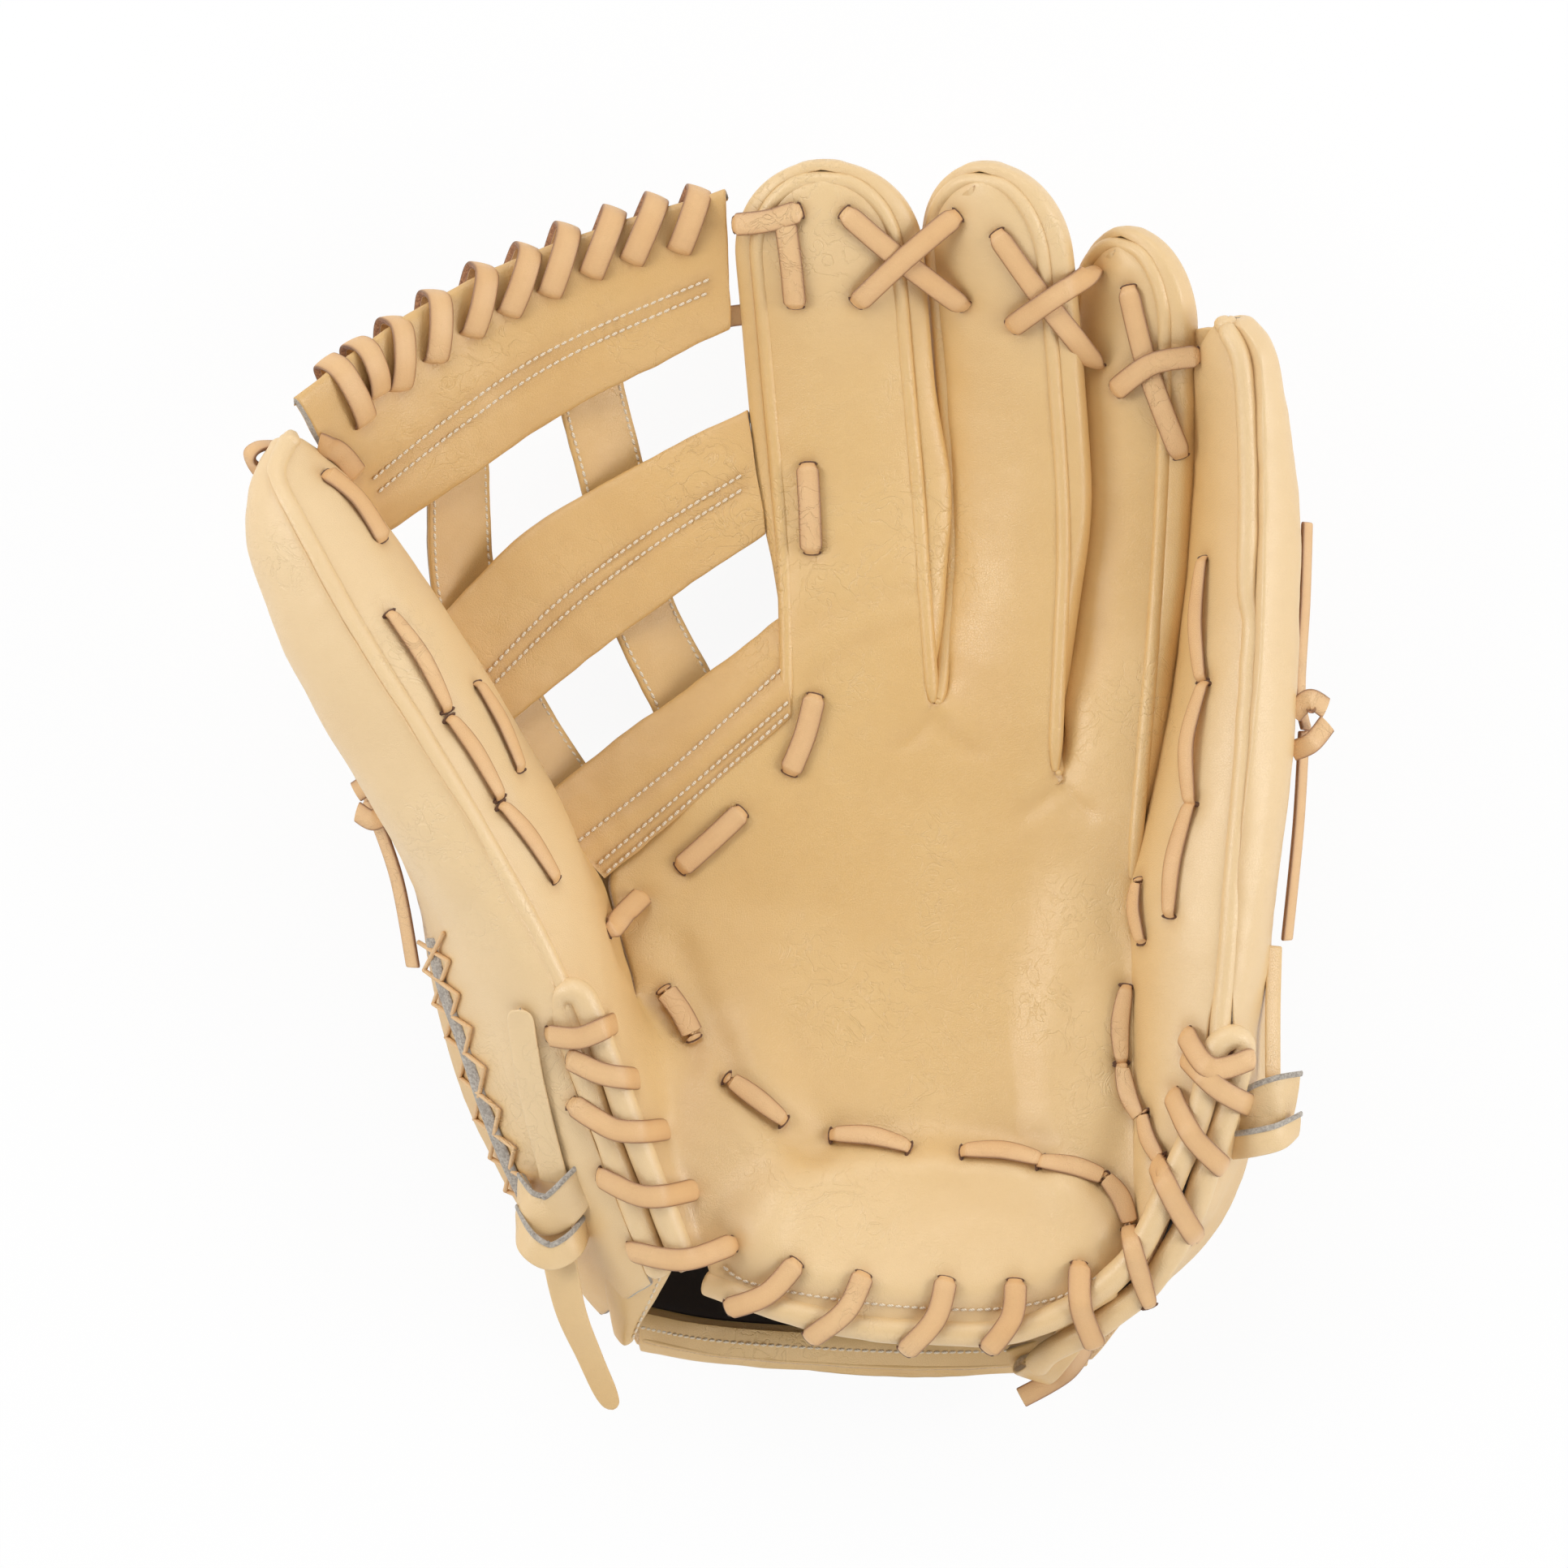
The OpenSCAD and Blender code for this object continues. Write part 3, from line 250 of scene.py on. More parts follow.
def wall_dir(wall, v):
    mid = lambda t: (wall.left(t) + wall.right(t)) / 2
    return unit(mid(min(v + 0.03, 1)) - mid(max(v - 0.03, 0)))


def wall_pt(wall, u, v):
    """Front leather of the thumb or pinky: u from left to right, v from the heel to the tip."""
    a, b = wall.left(v), wall.right(v)
    n = unit(np.cross(b - a, wall_dir(wall, v)))
    return mix(a, b, u) + n * spline(wall.bulge, v) * (1 - abs(2 * u - 1) ** 2.2)


# Cross section of a stall: axes, half width at the seams, swell of the sides, depth, and sink of the seams
Ring = namedtuple("Ring", "middle across half out left right depth drop")


def seam_angle(ring, swell):
    """Angle above the side of a stall at which its seam lies."""
    return math.degrees(math.acos((ring.half / (ring.half + swell)) ** (1 / SQUARE)))


def round_at(ring, angle):
    """Point on the outside of a stall: angle is 0 on its right, -90 on its back, -180 on its left."""
    c, s = math.cos(math.radians(angle)), math.sin(math.radians(angle))
    swell = ring.right if c > 0 else ring.left
    rise = ring.depth
    if s > 0:
        rise = ring.drop / math.sin(math.radians(max(seam_angle(ring, swell), 4))) ** SQUARE
    aside = ring.across * (ring.half + swell) * spow(c, SQUARE)
    return ring.middle + aside + ring.out * (rise * spow(s, SQUARE) - ring.drop)


def round_row(ring, in_left, in_right, shares):
    """A row of a back leather from the right seam round the back to the left seam."""
    def edge(side, inset):
        start = seam_angle(ring, ring.right if side > 0 else ring.left)
        for step in range(81):
            angle = start - step if side > 0 else -180 - start + step
            away = round_at(ring, angle) - ring.middle - ring.across * side * ring.half
            if inset <= 0 or np.linalg.norm(away) >= inset:
                return angle
        return start if side > 0 else -180 - start
    first, last = edge(1, in_right), edge(-1, in_left)
    return [round_at(ring, mix(first, last, share)) for share in shares]


def finger_back_row(i, s, shares):
    """A row of a finger back, at the length s along the stall."""
    length, width = FINGER_LEN[i], FINGER_W[i]
    grow, tip = soft((s - 0.1 * length) / (0.35 * length)), cap(s, length, TIP_R + 5)
    k = soft(s / (0.3 * length))
    a, b = seam(i, -1, s), seam(i, 1, s)
    across = unit(mix(unit(CROTCH[i + 1] - CROTCH[i]), stall_across(i, s), k))
    n, z = unit(np.cross(across, stall_dir(i, s))), mix(0.35, 1, tip)
    h = max(np.linalg.norm(b - a) / 2 - 1.6 * (1 - k), 0)
    more = max(tip * width / 2 - h, 0)
    turn = min(max((s - length + TIP_IN + TIP_R) / TIP_R, 0), 0.97)
    slope = turn / math.sqrt(1 - turn * turn) * width / 2 / TIP_R
    margin = (WELT_R + GROOVE) * math.sqrt(1 + slope * slope) if s < length - TIP_IN + WELT_R else 0
    depth = mix(KNUCKLE_DEPTH[i], STALL_DEPTH, soft(s / (0.25 * length))) * z
    low = 3.2 * soft((s / length - 0.06) / 0.15) * (1 - soft((s / length - 0.3) / 0.3))
    left, right = (more + max(swell * grow * tip, 0.3) for swell in SWELL[i])
    left, right = left + (low if i == 1 else 0), right + (low if i == 0 else 0)
    ring = Ring((a + b) / 2, across, h, n, left, right, depth, SEAM_DROP * z)
    return round_row(ring, margin, margin, shares)


def wall_back_row(wall, v, in_left, in_right, shares):
    """A row of the thumb's or pinky's back, with the margins that its edges leave at the seams."""
    a, b = wall.left(v), wall.right(v)
    n = unit(np.cross(b - a, wall_dir(wall, v)))
    left, right = (max(spline(swell, v), 0.2) for swell in (wall.swell_left, wall.swell_right))
    ring = Ring((a + b) / 2, unit(b - a), np.linalg.norm(b - a) / 2, n, left, right, spline(wall.bulge, v),
                min(2, left, right))
    return round_row(ring, in_left, in_right, shares)


def net_pt(net, u, v):
    """Smooth surface through rows of points."""
    return spline([spline(row, u) for row in net], v)


def facing(point, u, v, d=0.02):
    """Outward direction of a surface at u, v."""
    across = point(min(u + d, 1), v) - point(max(u - d, 0), v)
    along = point(u, min(v + d, 1)) - point(u, max(v - d, 0))
    return unit(np.cross(across, along))


# Shader nodes
class Wire:
    """A value in a material; arithmetic on it adds Math nodes."""

    def __init__(self, tree, socket):
        self.tree, self.socket = tree, socket

    def _math(self, operation, a, b):
        return node(self.tree, "ShaderNodeMath", {"operation": operation}, {0: a, 1: b})

    def __add__(self, other):
        return self._math("ADD", self, other)

    def __radd__(self, other):
        return self._math("ADD", other, self)

    def __sub__(self, other):
        return self._math("SUBTRACT", self, other)

    def __mul__(self, other):
        return self._math("MULTIPLY", self, other)


def node(tree, kind, settings=None, sockets=None, out=0):
    """Adds a node, sets it, fills its sockets with values or links, and gives one of its outputs."""
    made = tree.nodes.new(kind)
    for name, value in (settings or {}).items():
        setattr(made, name, value)
    for name, value in (sockets or {}).items():
        if isinstance(value, Wire):
            tree.links.new(value.socket, made.inputs[name])
        else:
            made.inputs[name].default_value = value
    return Wire(tree, made.outputs[out])


def linear(r, g, b):
    """Colour of the photograph, 0 to 255, as shader values."""
    flat = [c / 255 for c in (r, g, b)]
    return tuple(c / 12.92 if c <= 0.04045 else ((c + 0.055) / 1.055) ** 2.4 for c in flat) + (1,)


# Tones of the painted highlight on high hide, and of the painted seam shade and the laces' brown cut edges
PAINTED_HIGHLIGHT_TONE, SEAM_SHADE_AND_EDGE_TONE = linear(243, 220, 182), linear(122, 82, 48)


def new_material(name):
    made = bpy.data.materials.new(name)
    made.use_nodes = True
    tree = made.node_tree
    return made, tree, tree.nodes["Principled BSDF"]


def feed(tree, shader, **sockets):
    for name, value in sockets.items():
        socket = shader.inputs[name.replace("_", " ")]
        if isinstance(value, Wire):
            tree.links.new(value.socket, socket)
        else:
            socket.default_value = value


def blend_colour(tree, factor, a, b):
    return node(tree, "ShaderNodeMix", {"data_type": "RGBA"}, {0: factor, 6: a, 7: b}, out=2)


def noise(tree, scale, detail=2.0, rough=0.5):
    place = node(tree, "ShaderNodeTexCoord", out=3)
    sockets = {"Vector": place, "Scale": scale, "Detail": detail, "Roughness": rough}
    return node(tree, "ShaderNodeTexNoise", None, sockets)


def ranged(tree, value, low, high, to_low=0.0, to_high=1.0, smooth=False):
    """A value taken from one range to another."""
    settings = {"interpolation_type": "SMOOTHSTEP"} if smooth else None
    return node(tree, "ShaderNodeMapRange", settings, {0: value, 1: low, 2: high, 3: to_low, 4: to_high})


def bumped(tree, strength, distance, height):
    return node(tree, "ShaderNodeBump", None, {"Strength": strength, "Distance": distance, "Height": height})


def leather(name, light, mid, deep, gloss, grain, painted_highlight=0.0):
    """Smooth mottled hide, with a painted highlight where it lies high, and painted shade, or on laces their
    brown cut edges, where its shade attribute is high.
    """
    made, tree, shader = new_material(name)
    place = node(tree, "ShaderNodeTexCoord", out=3)
    cells = node(tree, "ShaderNodeTexVoronoi", {"feature": "DISTANCE_TO_EDGE"},
                 {"Vector": place, "Scale": 1500.0})
    pores = noise(tree, 2600.0, 3.0)
    cloud, blotch = noise(tree, 22.0, 3.0), noise(tree, 160.0, 4.0, 0.6)
    shade = node(tree, "ShaderNodeAttribute", {"attribute_name": "shade"}, out=2)
    rise = node(tree, "ShaderNodeSeparateXYZ", None, {0: place}, out=2)
    tone = blend_colour(tree, ranged(tree, cloud, 0.3, 0.7), mid, light)
    tone = blend_colour(tree, ranged(tree, blotch, 0.5, 0.85, 0.0, 0.12), tone, deep)
    # Painted highlight: paler towards the top of the piece
    tone = blend_colour(tree, ranged(tree, rise, 0.034, 0.078, 0.0, painted_highlight, smooth=True), tone, PAINTED_HIGHLIGHT_TONE)
    # Painted shade where the shade attribute is high; on laces it browns their cut edges, their own colour
    tone = blend_colour(tree, shade * 0.8, tone, deep)
    tone = blend_colour(tree, ranged(tree, shade, 0.55, 1.3), tone, SEAM_SHADE_AND_EDGE_TONE)
    wander = {"Vector": place, "Scale": 130.0, "Detail": 3.0, "Distortion": 1.6}
    field = node(tree, "ShaderNodeTexNoise", None, wander)
    line = node(tree, "ShaderNodeMath", {"operation": "ABSOLUTE"}, {0: field - 0.5})
    fold = ranged(tree, line, 0.0, 0.03, -3.0, 0.0, smooth=True) * ranged(tree, cloud, 0.5, 0.66)
    height = ranged(tree, cells, 0.0, 0.12) * 0.6 + pores * 0.5 + blotch * 0.8 + fold
    feed(tree, shader, Base_Color=tone, Roughness=gloss + blotch * 0.16 - cloud * 0.06,
         Normal=bumped(tree, grain, 0.00012, height),
         Specular_IOR_Level=0.9, Coat_Weight=0.2, Coat_Roughness=0.32)
    return made


def suede(name, light, dark, scale):
    """Raw flesh side or cut edge: short fibres, no shine."""
    made, tree, shader = new_material(name)
    fibres, clumps = noise(tree, scale, 5.0, 0.7), noise(tree, scale * 0.22, 3.0)
    tone = blend_colour(tree, ranged(tree, fibres, 0.36, 0.64), dark, light)
    tone = blend_colour(tree, ranged(tree, clumps, 0.5, 0.75, 0.0, 0.5), tone, dark)
    feed(tree, shader, Base_Color=tone, Roughness=0.86 + fibres * 0.1,
         Normal=bumped(tree, 0.7, 0.0003, fibres), Sheen_Weight=0.25)
    return made


def thread_finish():
    made, tree, shader = new_material("waxed_thread")
    place = node(tree, "ShaderNodeTexCoord", out=3)
    twist = node(tree, "ShaderNodeTexWave", {"wave_type": "BANDS", "bands_direction": "DIAGONAL"},
                 {"Vector": place, "Scale": 900.0, "Distortion": 2.0})
    tone = blend_colour(tree, twist, linear(212, 188, 152), linear(243, 231, 210))
    feed(tree, shader, Base_Color=tone, Roughness=0.6 + twist * 0.1, Normal=bumped(tree, 0.6, 0.0001, twist))
    return made


def lining_finish():
    made, tree, shader = new_material("dark_lining")
    weave = noise(tree, 1900.0, 3.0, 0.65)
    cloud = noise(tree, 60.0, 2.0)
    tone = blend_colour(tree, weave, linear(30, 23, 19), linear(62, 50, 42))
    tone = blend_colour(tree, cloud * 0.5, tone, linear(38, 29, 24))
    feed(tree, shader, Base_Color=tone, Roughness=0.7 + weave * 0.15, Normal=bumped(tree, 0.5, 0.0002, weave))
    return made


# The hide's last number is the strength of its painted highlight where it lies high
HIDE = leather("camel_hide", linear(225, 186, 122), linear(219, 177, 110), linear(184, 134, 74),
               0.33, 0.5, 0.44)
# A darker copy of the hide without the painted highlight: painted shade on the web's bars and posts
SHADED_WEB_HIDE = leather("shaded_web_hide", linear(222, 180, 114), linear(214, 169, 101), linear(174, 123, 64), 0.38, 0.55)
RAWHIDE = leather("rawhide_lace", linear(233, 192, 138), linear(223, 175, 116), linear(180, 124, 76),
                  0.5, 0.7)
LACE_EDGE = suede("lace_cut_edge", linear(190, 138, 98), linear(128, 82, 54), 1700.0)
FLESH = suede("grey_flesh_edge", linear(196, 188, 176), linear(140, 130, 120), 1400.0)
HIDE_EDGE = suede("hide_cut_edge", linear(226, 194, 150), linear(188, 148, 104), 1500.0)
FELT = suede("wool_felt", linear(226, 222, 210), linear(188, 182, 168), 900.0)
# Finish of the dark patches in the lace slits: painted shadow
DARK = suede("slit_shadow", linear(120, 80, 50), linear(76, 48, 30), 1500.0)
THREAD, LINING = thread_finish(), lining_finish()


# Making pieces
def fractions(n, edge=()):
    """Even steps from 0 to 1 with extra ones close to both edges."""
    inner = [k / n for k in range(1, n)]
    return [0, *edge, *inner, *(1 - e for e in reversed(edge)), 1]


def grid_of(point, us, vs):
    return np.array([[point(u, v) for u in us] for v in vs])


def normals(grid):
    du = np.gradient(grid, axis=1)
    dv = np.gradient(grid, axis=0)
    n = np.cross(du, dv)
    return n / np.maximum(np.linalg.norm(n, axis=2, keepdims=True), 1e-9)


def rolled(grid, radius, left=False, right=False, low=False, high=False):
    """Turns the chosen edges of a sheet down round a radius."""
    across = np.linalg.norm(np.diff(grid, axis=1), axis=2)
    along = np.linalg.norm(np.diff(grid, axis=0), axis=2)
    u = np.concatenate([np.zeros((len(grid), 1)), np.cumsum(across, 1)], 1)
    v = np.concatenate([np.zeros((1, grid.shape[1])), np.cumsum(along, 0)], 0)
    edge = np.full(grid.shape[:2], 1e9)
    for wanted, distance in ((left, u), (right, u[:, -1:] - u), (low, v), (high, v[-1:] - v)):
        if wanted:
            edge = np.minimum(edge, distance)
    e = np.clip(edge, 0, radius)
    drop = radius - np.sqrt(radius ** 2 - (radius - e) ** 2)
    return grid - normals(grid) * drop[..., None]


def bare(name, grid):
    """A grid primitive moved onto the points of a surface."""
    rows, cols = grid.shape[:2]
    bpy.ops.object.select_all(action="DESELECT")
    bpy.ops.mesh.primitive_grid_add(x_subdivisions=cols - 1, y_subdivisions=rows - 1, size=1)
    made = bpy.context.object
    made.name = made.data.name = name
    made.data.vertices.foreach_set("co", (np.asarray(grid) * MM).ravel())
    return made


def only(*objs):
    """Selects pieces alone, with the first as the active one."""
    bpy.ops.object.select_all(action="DESELECT")
    for obj in objs:
        obj.select_set(True)
    bpy.context.view_layer.objects.active = objs[0]


def edit(obj, step):
    """Runs a mesh operator on all of a piece."""
    only(obj)
    bpy.ops.object.mode_set(mode="EDIT")
    bpy.ops.mesh.select_all(action="SELECT")
    step()
    bpy.ops.object.mode_set(mode="OBJECT")


def joined(name, objs):
    only(*objs)
    if len(objs) > 1:
        bpy.ops.object.join()
    objs[0].name = objs[0].data.name = name
    return objs[0]


def weld(obj, reach=0.03):
    edit(obj, lambda: bpy.ops.mesh.remove_doubles(threshold=reach * MM))
    return obj


def applied(obj, kind, **settings):
    only(obj)
    modifier = obj.modifiers.new(kind.lower(), kind)
    for name, value in settings.items():
        setattr(modifier, name, value)
    bpy.ops.object.modifier_apply(modifier=modifier.name)


def thickened(obj, thickness, face, rim=None):
    """Gives a bare sheet its thickness, its finishes and its soft edges."""
    obj.data.materials.clear()
    obj.data.materials.append(face)
    if rim:
        obj.data.materials.append(rim)
    applied(obj, "SOLIDIFY", thickness=thickness * MM, offset=-1, use_quality_normals=True,
            material_offset_rim=1 if rim else 0)
    applied(obj, "SUBSURF", levels=1, render_levels=1)
    bpy.ops.object.shade_smooth()
    return obj


def sheet(name, grid, thickness, face, rim=None):
    return thickened(bare(name, grid), thickness, face, rim)


def tube(name, path, radius, face, sides=10, levels=1, ends=0.6):
    """A round cord or roll along a path; radius may be a function of the share of its length."""
    p = np.array(path)
    d = np.gradient(p, axis=0)
    d /= np.linalg.norm(d, axis=1, keepdims=True)
    side = np.cross(d, P(0, 0, 1))
    side /= np.linalg.norm(side, axis=1, keepdims=True)
    up = np.cross(side, d)
    turn = np.linspace(0, 2 * math.pi, sides + 1)
    rows = []
    n = len(p) - 1
    for k in range(n + 1):
        r = radius(k / n) if callable(radius) else radius
        rows.append([p[k] + r * (side[k] * math.sin(a) + up[k] * math.cos(a)) for a in turn])
    first, last = np.array(rows[0]), np.array(rows[-1])
    small = lambda ring, c, out: c + (ring - c) * 0.55 + out
    tips = p[0] - d[0] * ends, p[-1] + d[-1] * ends
    shut = [np.repeat([tip], sides + 1, 0) for tip in tips]
    rows = [shut[0], small(first, p[0], -d[0] * ends)] + rows + [small(last, p[-1], d[-1] * ends), shut[1]]
    made = weld(bare(name, np.array(rows)), 0.002)
    made.data.materials.clear()
    made.data.materials.append(face)
    if levels:
        applied(made, "SUBSURF", levels=levels, render_levels=levels)
    edit(made, lambda: bpy.ops.mesh.normals_make_consistent(inside=False))
    bpy.ops.object.shade_smooth()
    return made


HOLES = {"palm": [], "thumb": [], "pinky": [], "web": []}
STRIP = (-0.5, -0.45, -0.36, -0.15, 0.15, 0.36, 0.45, 0.5)
STRIP_SHADE = (1.3, 0.95, 0.28, 0, 0, 0.28, 0.95, 1.3)


def strip(name, points, ups, width, thick, face=None, rim=None, steps=24, taper=None):
    """A flat lace along points, its face turned to the ups."""
    p = np.array(sampled(points, steps))
    up = np.array(sampled(ups, steps))
    d = np.gradient(p, axis=0)
    d /= np.maximum(np.linalg.norm(d, axis=1, keepdims=True), 1e-9)
    side = np.cross(d, up)
    side /= np.maximum(np.linalg.norm(side, axis=1, keepdims=True), 1e-9)
    top = np.cross(side, d)
    drops = [LACE_EDGE_DROP if abs(x) == 0.5 else 0 for x in STRIP]
    crown = [thick / 2 + LACE_CROWN * (0.25 - x * x) - drop for x, drop in zip(STRIP, drops)]
    rows = []
    for k in range(steps + 1):
        w = width * (taper(k / steps) if taper else 1)
        rows.append([p[k] + side[k] * x * w + top[k] * c for x, c in zip(STRIP, crown)])
    made = bare(name, np.array(rows))
    if not face:
        shade = made.data.attributes.new("shade", "FLOAT", "POINT")
        shade.data.foreach_set("value", np.tile(STRIP_SHADE, steps + 1))
    return thickened(made, thick, face or RAWHIDE, rim or LACE_EDGE)


def repeat(name, model, places, face):
    """Copies a modelled piece to every place (point, along, up) as one mesh."""
    verts = np.array([v.co for v in model.data.vertices])
    polys = [list(p.vertices) for p in model.data.polygons]
    points, faces = [], []
    for spot, along, up in places:
        side = unit(np.cross(along, up))
        top = np.cross(side, along)
        faces += [[v + len(points) for v in poly] for poly in polys]
        points.extend(spot * MM + verts @ np.array([side, along, top]))
    data = bpy.data.meshes.new(name)
    data.from_pydata([tuple(p) for p in points], [], faces)
    made = bpy.data.objects.new(name, data)
    bpy.context.scene.collection.objects.link(made)
    data.materials.append(face)
    data.shade_smooth()
    return made


def thread_model(length, width):
    bpy.ops.object.select_all(action="DESELECT")
    bpy.ops.mesh.primitive_uv_sphere_add(segments=8, ring_count=5, radius=1, rotation=(math.pi / 2, 0, 0))
    made = bpy.context.object
    bpy.ops.object.transform_apply(rotation=True)
    edit(made, lambda: bpy.ops.transform.resize(value=(width / 2 * MM, length / 2 * MM, width * 0.36 * MM)))
    return made


def sewn(name, point, places, lift=0.1):
    """A row of thread stitches over a surface, through places (u, v)."""
    uv = sampled(places, 160)
    p = np.array([point(*q) for q in uv])
    ups = np.array([facing(point, *q) for q in uv])
    return stitched(name, p, ups, lift)


def stitched(name, p, ups, lift):
    """A row of thread stitches along points with their ups."""
    run = np.concatenate([[0], np.cumsum(np.linalg.norm(np.diff(p, axis=0), axis=1))])
    place = lambda s, rows: P(*(np.interp(s, run, rows[:, c]) for c in range(3)))
    model = thread_model(STITCH_LEN, STITCH_W)
    spots = []
    for s in np.arange(STITCH_PITCH / 2, run[-1], STITCH_PITCH):
        up = unit(place(s, ups))
        along = unit(place(s + 0.6, p) - place(s - 0.6, p))
        spots.append((place(s, p) + up * lift, unit(along + 0.12 * np.cross(up, along)), up))
    made = repeat(name, model, spots, THREAD)
    bpy.data.objects.remove(model)
    return made


def points_of(data):
    """Vertices of a mesh, in metres."""
    co = np.empty(len(data.vertices) * 3)
    data.vertices.foreach_get("co", co)
    return co.reshape(-1, 3)


def moved(data, co):
    data.vertices.foreach_set("co", co.ravel())
    data.update()


def shades_of(data):
    """The shade attribute of a mesh and its values."""
    dark = data.attributes.get("shade") or data.attributes.new("shade", "FLOAT", "POINT")
    tone = np.empty(len(data.vertices))
    dark.data.foreach_get("value", tone)
    return dark, tone


def pressed(obj, spots, depth, reach, shade, shade_reach):
    """Presses dents into a finished mesh round the spots (point, up), and paints shade into them."""
    data = obj.data
    co = points_of(data) / MM
    dark, tone = shades_of(data)
    for spot, up in spots:
        d = np.linalg.norm(co - spot, axis=1)
        near = d < 3 * max(reach, shade_reach)
        co[near] -= np.exp(-(d[near, None] / reach) ** 2) * depth * up
        tone[near] = np.maximum(tone[near], shade * np.exp(-(d[near] / shade_reach) ** 2))
    moved(data, co * MM)
    dark.data.foreach_set("value", tone)


def lined(obj, path, shade, reach):
    """Paints shade on a mesh along a path."""
    co = points_of(obj.data) / MM
    dark, tone = shades_of(obj.data)
    path = np.array(path)
    low, high = path.min(0) - 3 * reach, path.max(0) + 3 * reach
    near = np.flatnonzero(((co > low) & (co < high)).all(1))
    for part in np.array_split(near, len(near) // 4000 + 1):
        d = np.linalg.norm(co[part][:, None] - path[None], axis=2).min(1)
        tone[part] = np.maximum(tone[part], shade * np.exp(-(d / reach) ** 2))
    dark.data.foreach_set("value", tone)


def grooved(obj, point, places, depth, reach, shade, shade_reach):
    """Presses a line into a mesh along places (u, v) of its surface, with painted shade along it."""
    uv = sampled(places, 60)
    line = np.array([point(*q) for q in uv])
    ups = np.array([facing(point, *q) for q in uv])
    data = obj.data
    co = points_of(data) / MM
    dark, tone = shades_of(data)
    d = np.linalg.norm(co[:, None, :] - line[None], axis=2)
    k = d.argmin(1)
    d = d.min(1)
    co -= (np.exp(-(d / reach) ** 2) * depth)[:, None] * ups[k]
    tone = np.maximum(tone, shade * np.exp(-(d / shade_reach) ** 2))
    moved(data, co * MM)
    dark.data.foreach_set("value", tone)


def rumpled(obj, amount):
    """Small uneven swells of soft leather."""
    data = obj.data
    co, out = points_of(data), np.empty(len(data.vertices) * 3)
    data.vertex_normals.foreach_get("vector", out)
    swell = np.array([noise_at(Vector(c * RUMPLE)) + 0.5 * noise_at(Vector(c * RUMPLE * 2.7)) for c in co])
    moved(data, co + out.reshape(-1, 3) * swell[:, None] * amount * MM)


def placed(obj, body, slot, *nodes):
    """A finished piece rides on its body and stands for its solids."""
    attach(obj, body)
    if nodes:
        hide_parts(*nodes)


def bent(obj, other, start, end, slot, *nodes):
    """A finished piece stays where it is made and stands for its solids."""
    tuple(np.array(start) * MM)
    tuple(np.array(end) * MM)
    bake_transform(obj)
    if nodes:
        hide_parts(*nodes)


# Camera straight above the palm; 412 mm across at the height of the palm's rim
camera = bpy.data.objects.new("camera", bpy.data.cameras.new("camera"))
bpy.context.scene.collection.objects.link(camera)
camera.location = (0, 0, CAMERA_Z * MM)
camera.data.angle = 2 * math.atan(HALF_VIEW / (CAMERA_Z - RIM_Z))
camera.data.clip_end = 20
bpy.context.scene.camera = camera

# Front leather: palm, finger fronts and thumb front are one hide
FINE = (0.012, 0.03, 0.058)
FINGER_U = fractions(10, FINE)
FOLD_ROWS, WEB_ROWS, FREE_ROWS = 26, 16, 46


def finger_front(i):
    """Front of a finger; those of the middle and ring finger turn down round their left side."""
    inset = 1.15
    length, tip = FINGER_LEN[i] - TIP_IN - inset, TIP_R - inset
    rows = [(length - tip) * k / 44 for k in range(45)]
    rows += [length - tip + tip * math.sin(math.radians(a)) for a in range(8, 89, 8)]
    grid = grid_of(lambda u, s: finger_pt(i, u, s, inset), FINGER_U, rows)
    ease = np.array([soft((s - 2) / 20) for s in rows])[:, None, None]
    grid = grid + normals(grid) * 0.35 * ease
    lift = np.zeros((len(rows), 1))
    if i == 2:
        fade = [1 - soft((s - length + 2.2 * tip) / (1.5 * tip)) for s in rows]
        lift[:, 0] = [7.5 * soft((s - 6) / 30) * f for s, f in zip(rows, fade)]
    grid[..., 2] += lift * (1 - np.array(FINGER_U)) ** 1.2
    if i:
        wrap = np.array([[finger_pt(i, -x / FINGER_W[i], s, inset) for x in (4.4, 3.2, 1.6)] for s in rows])
        n = normals(np.concatenate([wrap, grid[:, 1:3]], 1))[:, :3]
        wrap = wrap - n * np.array([5.5, 2.4, 0.6])[None, :, None]
        wrap[..., 2] += lift * np.array([0, 0.55, 0.9])
        edge = np.array([[finger_pt(i, 0, s, inset)] for s in rows])
        first = mix(grid[:, :1], edge + lift[..., None] * P(0, 0, 1), ease)
        grid = np.concatenate([mix(first, wrap, ease), first, grid[:, 1:]], 1)
    return bare(f"finger_front_{i}", grid)


def palm_front():
    """Palm with a flange under the low bar, one under the pinky fold and a lap on the heel roll."""
    us = [-0.04, *(i + u for i in range(3) for u in (FINGER_U if i == 2 else FINGER_U[:-1])), 3.04]
    vs = [-0.022, -0.01] + [WEB_TURN * k / FOLD_ROWS for k in range(FOLD_ROWS)]
    vs += [mix(WEB_TURN, 1, k / WEB_ROWS) for k in range(WEB_ROWS + 1)]

    def point(u, v):
        p = palm_pt(min(max(u, 0), 3), v)
        if u < 0:
            return p + P(-2.6, 3, -3.4) * soft((v - WEB_TURN) / 0.05)
        return p + P(2.4, 0, -2.6) if u > 3 else p
    return bare("palm_front", grid_of(point, us, vs))


def seam_share(v):
    """0 beside the heel rolls, 1 along the piped seam above them."""
    return soft((v - SEAM_FROM) / SEAM_EASE)


def ridge_margin(v):
    return mix(ROLL_R, WELT_R, seam_share(v)) * 0.9 + GROOVE


